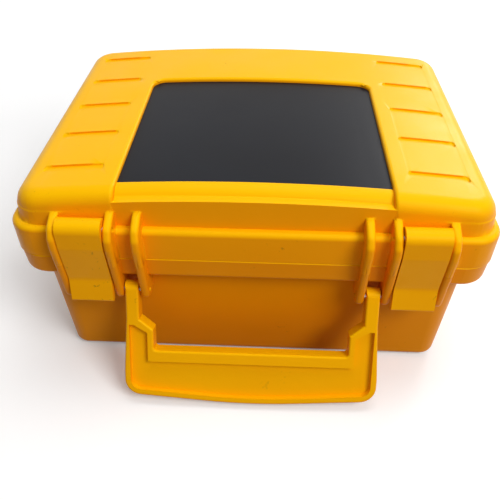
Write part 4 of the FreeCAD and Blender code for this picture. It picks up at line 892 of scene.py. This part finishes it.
@dataclass
class KnobTop:
    """Metal cap let into the selector knob, and the white line that points at the dial."""

    bench: Bench
    first_degrees: float = 165.0
    cap_radius: float = 8.0 * MM
    cap_rise: float = 0.5 * MM
    line_length: float = 6.0 * MM
    line_width: float = 2.0 * MM
    line_gap: float = 0.6 * MM
    line_rise: float = 0.4 * MM

    def make(self) -> None:
        """Model the cap and the line on the knob's top."""
        middle = self.bench.top_middle("selector_knob")
        self.make_cap(middle)
        self.make_line(middle)

    def make_cap(self, middle: Vector) -> None:
        """Turn the cap with a shallow dish in it.

        Args:
            middle: Middle of the knob's top.
        """
        cap = self.bench.disc(middle, self.cap_radius, self.cap_rise * 2.0)
        self.bench.edit(cap, "FACE", lambda face: face.normal.z > 0.9)
        bpy.ops.mesh.inset(thickness=self.cap_radius * 0.14)
        bpy.ops.mesh.inset(thickness=self.cap_radius * 0.07)
        bpy.ops.transform.translate(value=(0.0, 0.0, -self.cap_rise * 0.5))
        self.bench.close()
        self.bench.soften_top(cap, self.cap_rise * 0.3)
        self.bench.hang(cap, "knob_cap", ALUMINIUM, "selector")

    def make_line(self, middle: Vector) -> None:
        """Shape the pointer line, which narrows outwards.

        Args:
            middle: Middle of the knob's top.
        """
        turn = math.radians(self.first_degrees)
        outward = Vector((math.cos(turn), math.sin(turn), 0.0))
        centre = middle + outward * (self.cap_radius + self.line_length / 2.0 + self.line_gap)
        line = self.bench.block(centre, (self.line_length, self.line_width, self.line_rise * 2.0), turn)
        self.bench.edit(line, "FACE", lambda face: face.normal.dot(outward) > 0.9)
        bpy.ops.transform.resize(value=(0.55, 0.55, 1.0))
        self.bench.close()
        self.bench.soften_top(line, self.line_rise * 0.4)
        self.bench.hang(line, "knob_line", INK, "selector")


@dataclass
class Dial:
    """Ticks and numbers printed round the selector knob."""

    bench: Bench
    steps: int = 6
    first_degrees: float = 165.0
    turn_degrees: float = 150.0
    tick_start: float = 21.0 * MM
    tick_length: float = 2.6 * MM
    tick_width: float = 0.7 * MM
    figure_radius: float = 27.0 * MM
    figure_height: float = 3.6 * MM
    ink: float = 0.12 * MM

    def make(self) -> None:
        """Model one tick, copy it round the knob and set the numbers."""
        middle = self.bench.top_middle("selector_knob")
        middle.z = self.bench.panel_top()
        start = math.radians(self.first_degrees)
        step = math.radians(self.turn_degrees) / (self.steps - 1)
        outward = Vector((math.cos(start), math.sin(start), 0.0))
        centre = middle + outward * (self.tick_start + self.tick_length / 2.0)
        tick = self.bench.block(centre, (self.tick_length, self.tick_width, self.ink * 2.0), start)
        self.bench.edit(tick, "FACE", lambda face: face.normal.dot(outward) < -0.9)
        bpy.ops.transform.resize(value=(0.6, 0.6, 1.0))
        self.bench.close()
        self.bench.soften_top(tick, self.ink * 0.4, 1)
        ticks = [tick] + [self.bench.twin(tick, -step * number, middle) for number in range(1, self.steps)]
        self.bench.hang(self.bench.join(ticks), "dial_ticks", INK, "base")
        figures = []
        for number in range(self.steps):
            angle = start - step * number
            place = middle + Vector((math.cos(angle), math.sin(angle), 0.0)) * self.figure_radius
            figures.append(self.bench.figure(str(number), place, self.figure_height, self.ink))
        self.bench.hang(self.bench.join(figures), "dial_numbers", INK, "base")


@dataclass
class PanelPrint:
    """Rounded frames printed on the panel round each group of parts."""

    bench: Bench
    line: float = 0.7 * MM
    corner: float = 4.0 * MM
    ink: float = 0.1 * MM
    figure_height: float = 4.0 * MM
    frames: dict[str, tuple[float, float, float, float]] = field(default_factory=lambda: {
        "frame_outlet": (-70.0, -30.0, 74.0, 74.0),
        "frame_inlet": (-53.5, 57.0, 95.0, 47.0),
        "frame_display": (52.0, 42.5, 102.0, 71.0),
        "frame_keys": (52.0, -69.0, 64.0, 20.0),
        "frame_terminals": (104.0, -37.0, 22.0, 54.0),
    })
    fuse_numbers: dict[str, tuple[float, float]] = field(default_factory=lambda: {
        "1": (-35.0, 70.0), "2": (-35.0, 44.0)})

    def make(self) -> None:
        """Print every frame and the numbers beside the fuses."""
        top = self.bench.panel_top()
        for name, (x, y, length, width) in self.frames.items():
            self.make_frame(name, Vector((x * MM, y * MM, top)), length * MM, width * MM)
        figures = [self.bench.figure(text, Vector((x * MM, y * MM, top)), self.figure_height, self.ink)
                   for text, (x, y) in self.fuse_numbers.items()]
        self.bench.hang(self.bench.join(figures), "fuse_numbers", INK, "base")

    def make_frame(self, name: str, middle: Vector, length: float, width: float) -> None:
        """Draw one rounded frame and give it the thickness of ink.

        Args:
            name: Its name.
            middle: Its middle on the panel.
            length: Its length along X.
            width: Its width along Y.
        """
        self.bench.clear()
        bpy.ops.mesh.primitive_plane_add(size=1.0, location=middle)
        frame_piece = bpy.context.object
        frame_piece.scale = (length, width, 1.0)
        self.bench.settle()
        self.bench.edit(frame_piece, "FACE", lambda face: True)
        bpy.ops.mesh.bevel(offset=self.corner, segments=8, affect="VERTICES")
        bpy.ops.mesh.select_all(action="SELECT")
        bpy.ops.mesh.inset(thickness=self.line)
        bpy.ops.mesh.delete(type="FACE")
        bpy.ops.mesh.select_all(action="SELECT")
        bpy.ops.mesh.extrude_region_move(TRANSFORM_OT_translate={"value": (0.0, 0.0, self.ink)})
        bpy.ops.mesh.select_all(action="SELECT")
        bpy.ops.mesh.normals_make_consistent(inside=False)
        self.bench.close()
        self.bench.hang(frame_piece, name, INK, "base")


@dataclass
class KeySigns:
    """Raised signs on the three keys: a triangle to start, a ring to hold and a square to stop."""

    bench: Bench
    rise: float = 0.25 * MM
    size: float = 2.6 * MM

    def make(self) -> None:
        """Model one sign on each key."""
        for node, shape in (("key_left", self.triangle), ("key_middle", self.ring), ("key_right", self.square)):
            sign = shape(self.bench.top_middle(node))
            self.bench.soften_top(sign, self.rise * 0.4)
            self.bench.hang(sign, f"{node}_sign", INK, node)

    def triangle(self, middle: Vector) -> bpy.types.Object:
        """Model the triangle, which points right.

        Args:
            middle: Middle of the key's top.

        Returns:
            The triangle.
        """
        return self.bench.disc(middle, self.size, self.rise * 2.0, 3, math.radians(-90.0))

    def ring(self, middle: Vector) -> bpy.types.Object:
        """Model the ring.

        Args:
            middle: Middle of the key's top.

        Returns:
            The ring.
        """
        ring = self.bench.disc(middle, self.size, self.rise * 2.0, 40)
        self.bench.edit(ring, "FACE", lambda face: abs(face.normal.z) > 0.9)
        bpy.ops.mesh.inset(thickness=self.size * 0.32)
        bpy.ops.mesh.bridge_edge_loops()
        self.bench.close()
        return ring

    def square(self, middle: Vector) -> bpy.types.Object:
        """Model the square.

        Args:
            middle: Middle of the key's top.

        Returns:
            The square.
        """
        side = self.size * 1.6
        square = self.bench.block(middle, (side, side, self.rise * 2.0))
        self.bench.edit(square, "EDGE", lambda ends: abs(ends[0].z - ends[1].z) > 1e-6)
        bpy.ops.mesh.bevel(offset=self.size * 0.15, segments=3, affect="EDGES")
        self.bench.close()
        return square


@dataclass
class DisplayFigures:
    """Four noughts in dark bars, with a point, on the display behind its window."""

    bench: Bench
    bar_length: float = 7.0 * MM
    bar_width: float = 1.5 * MM
    bar_rise: float = 0.06 * MM
    pitch: float = 13.0 * MM
    figures: int = 4

    def make(self) -> None:
        """Model one bar, copy it into one figure, and copy the figure along the display."""
        middle = self.bench.top_middle("display_module") + Vector((0.0, 0.0, self.bar_rise))
        bar = self.make_bar(middle)
        half = self.bar_length / 2.0 + self.bar_width * 0.2
        bars = []
        for turn, shift in ((0.0, (0.0, 2.0 * half)), (0.0, (0.0, -2.0 * half)), (90.0, (half, half)),
                            (90.0, (half, -half)), (90.0, (-half, half)), (90.0, (-half, -half))):
            bars.append(self.bench.twin(bar, math.radians(turn), middle, Vector((*shift, 0.0))))
        nought = self.bench.join(bars)
        first = -(self.figures - 1) / 2.0
        row = [self.bench.twin(nought, shift=Vector(((first + number) * self.pitch, 0.0, 0.0)))
               for number in range(self.figures)]
        point = self.bench.disc(middle + Vector((0.0, -2.0 * half, 0.0)), self.bar_width * 0.6,
                                self.bar_rise * 2.0, 16)
        self.bench.soften_top(point, self.bar_rise * 0.5)
        self.bench.discard([bar, nought])
        self.bench.hang(self.bench.join([*row, point]), "display_figures", LCD_DARK, "base")

    def make_bar(self, middle: Vector) -> bpy.types.Object:
        """Shape one bar with pointed ends.

        Args:
            middle: Its middle.

        Returns:
            The bar.
        """
        bar = self.bench.block(middle, (self.bar_length - self.bar_width, self.bar_width, self.bar_rise * 2.0))
        for side in (-1.0, 1.0):
            self.bench.edit(bar, "FACE", lambda face, side=side: face.normal.x * side > 0.9)
            bpy.ops.mesh.extrude_region_move(
                TRANSFORM_OT_translate={"value": (side * self.bar_width * 0.42, 0.0, 0.0)})
            bpy.ops.transform.resize(value=(1.0, 0.15, 1.0))
            self.bench.close()
        return bar


@dataclass
class ScrewDrives:
    """Painted shade of the cross-shaped drives in the panel's screw heads: thin dark crosses laid on the heads.
    """

    bench: Bench
    arm_length: float = 3.4 * MM
    arm_width: float = 0.8 * MM
    rise: float = 0.03 * MM
    turn_step: float = math.radians(27.0)
    places: tuple[tuple[float, float], ...] = ((-112.0, -82.0), (112.0, -82.0), (-112.0, 82.0), (112.0, 82.0),
                                               (0.0, -83.5), (0.0, 83.5))

    def make(self) -> None:
        """Model one dark cross for a drive's painted shade and copy it to every screw, each turned as the screw
        was left.
        """
        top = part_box("panel_screws")[1][2] + self.rise / 2.0
        first = Vector((0.0, 0.0, top))
        arm = self.bench.block(first, (self.arm_length, self.arm_width, self.rise))
        for side in (-1.0, 1.0):
            self.bench.edit(arm, "FACE", lambda face, side=side: face.normal.x * side > 0.9)
            bpy.ops.transform.resize(value=(1.0, 0.6, 1.0))
            self.bench.close()
        cross = self.bench.join([arm, self.bench.twin(arm, math.radians(90.0))])
        crosses = []
        for number, (x, y) in enumerate(self.places):
            crosses.append(self.bench.twin(cross, self.turn_step * number, None,
                                           Vector((x * MM, y * MM, 0.0))))
        self.bench.discard([cross])
        self.bench.hang(self.bench.join(crosses), "screw_drives", PAINTED_RECESS_SHADE, "base")


# ---------------------------------------------------------------- studio

@dataclass
class Viewpoint:
    """Camera in front of the case, above it and looking down."""

    place: tuple[float, float, float] = (0.00949, -0.35670, 0.30948)
    down_degrees: float = 39.748
    yaw_degrees: float = 2.43
    roll_degrees: float = 0.141
    lens_mm: float = 43.34

    def make(self) -> bpy.types.Object:
        """Add the camera and make it the scene's own.

        Returns:
            The camera.
        """
        camera = bpy.data.objects.new("camera", bpy.data.cameras.new("camera"))
        bpy.context.scene.collection.objects.link(camera)
        camera.data.sensor_width = 36.0
        camera.data.lens = self.lens_mm
        turn = Euler((math.radians(90.0 - self.down_degrees), 0.0, math.radians(self.yaw_degrees))).to_matrix()
        turn = turn @ Matrix.Rotation(math.radians(self.roll_degrees), 3, "Z")
        camera.matrix_world = Matrix.Translation(self.place) @ turn.to_4x4()
        bpy.context.scene.camera = camera
        return camera


@dataclass
class Studio:
    """Pale floor, white backdrop and soft lamps."""

    floor_half: float = 14.0
    floor_colour: tuple[float, float, float] = (0.94, 0.94, 0.94)
    floor_glow: tuple[float, float, float] = (0.29, 0.28, 0.27)
    floor_haze: float = 0.16
    far_haze: float = 0.82
    haze_start: float = 0.35
    haze_full: float = 1.3
    floor_roughness: float = 0.9
    aim: tuple[float, float, float] = (0.0, 0.0, 0.08)
    air_strength: float = 0.24
    lamps: list[tuple[str, tuple[float, float, float], float, float]] = field(default_factory=lambda: [
        ("lamp_above", (0.1, 0.1, 1.1), 0.7, 4.8),
        ("lamp_right", (0.78, 1.3, 0.75), 0.5, 6.5),
        ("lamp_front", (0.7, -0.8, 1.05), 0.6, 12.5),
    ])

    def make(self) -> None:
        """Add the floor, the air's light and the lamps."""
        self.make_floor()
        self.make_air()
        for name, place, side, power in self.lamps:
            self.make_lamp(name, Vector(place), side, power)

    def make_floor(self) -> None:
        """Add the floor as a large plane under the case."""
        bpy.ops.object.select_all(action="DESELECT")
        bpy.ops.mesh.primitive_plane_add(size=2.0 * self.floor_half, location=(0.0, 0.0, CAD_LOW.z))
        floor = bpy.context.object
        floor.name = "studio_floor"
        recipe = Recipe("floor_pale")
        nodes, links = recipe.tree.nodes, recipe.tree.links
        shown = self.seen(nodes, links)
        distance = nodes.new("ShaderNodeVectorMath")
        distance.operation = "LENGTH"
        links.new(recipe.point, distance.inputs[0])
        haze = recipe.levels(distance.outputs["Value"], self.haze_start, self.haze_full, self.floor_haze,
                             self.far_haze)
        recipe.put(recipe.shader, "Roughness", self.floor_roughness)
        recipe.put(recipe.shader, "Base Color", recipe.blend(shown, self.floor_glow, self.floor_colour))
        recipe.put(recipe.shader, "Emission Color", (1.0, 1.0, 1.0, 1.0))
        recipe.put(recipe.shader, "Emission Strength", recipe.sum(shown, haze, "MULTIPLY"))
        floor.data.materials.append(recipe.material)

    def make_air(self) -> None:
        """Light the scene evenly, with a white backdrop for the camera, mirrors and glass."""
        world = bpy.data.worlds.new("studio_air")
        bpy.context.scene.world = world
        world.use_nodes = True
        nodes, links = world.node_tree.nodes, world.node_tree.links
        shader = nodes["Background"]
        shader.inputs["Color"].default_value = (1.0, 1.0, 1.0, 1.0)
        strength = nodes.new("ShaderNodeMapRange")
        links.new(self.seen(nodes, links), strength.inputs["Value"])
        strength.inputs["To Min"].default_value = self.air_strength
        strength.inputs["To Max"].default_value = 1.0
        links.new(strength.outputs["Result"], shader.inputs["Strength"])

    def seen(self, nodes: bpy.types.Nodes, links: bpy.types.NodeLinks) -> bpy.types.NodeSocket:
        """Tell the rays that show the backdrop from the rays that only carry its light.

        Args:
            nodes: Nodes of the backdrop's material or of the world.
            links: Its links.

        Returns:
            1 for what the camera sees, directly, in metal or through glass.
        """
        path = nodes.new("ShaderNodeLightPath")
        shown = path.outputs["Is Camera Ray"]
        for kind in ("Is Glossy Ray", "Is Transmission Ray"):
            both = nodes.new("ShaderNodeMath")
            both.operation = "MAXIMUM"
            links.new(shown, both.inputs[0])
            links.new(path.outputs[kind], both.inputs[1])
            shown = both.outputs[0]
        return shown

    def make_lamp(self, name: str, place: Vector, side: float, power: float) -> None:
        """Add one square soft lamp aimed at the case.

        Args:
            name: Name of the lamp.
            place: Where it hangs.
            side: Its side in metres.
            power: Its power in watts.
        """
        light = bpy.data.lights.new(name, "AREA")
        light.size = side
        light.energy = power
        lamp = bpy.data.objects.new(name, light)
        bpy.context.scene.collection.objects.link(lamp)
        aim = Vector(self.aim) - place
        lamp.matrix_world = Matrix.Translation(place) @ aim.to_track_quat("-Z", "Y").to_matrix().to_4x4()


# ---------------------------------------------------------------- making


def main() -> None:
    """Make the camera, the studio, the finishes and the markings, in that order."""
    logging.basicConfig(level=logging.INFO, format="%(message)s")
    bpy.context.scene.view_settings.view_transform = "Standard"
    Viewpoint().make()
    Studio().make()
    shelf = FinishShelf()
    for node, finish in DRESS.items():
        shelf.dress(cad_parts[node], finish)
    bench = Bench(shelf)
    for sub_assembly in (BowedLid(bench), SoftenedParts(bench), LampLenses(bench), FuseSlots(bench),
                         KnobTop(bench), Dial(bench), PanelPrint(bench), KeySigns(bench), DisplayFigures(bench),
                         ScrewDrives(bench)):
        sub_assembly.make()
        log.info("%s is made", type(sub_assembly).__name__)


if __name__ == "__main__":
    main()
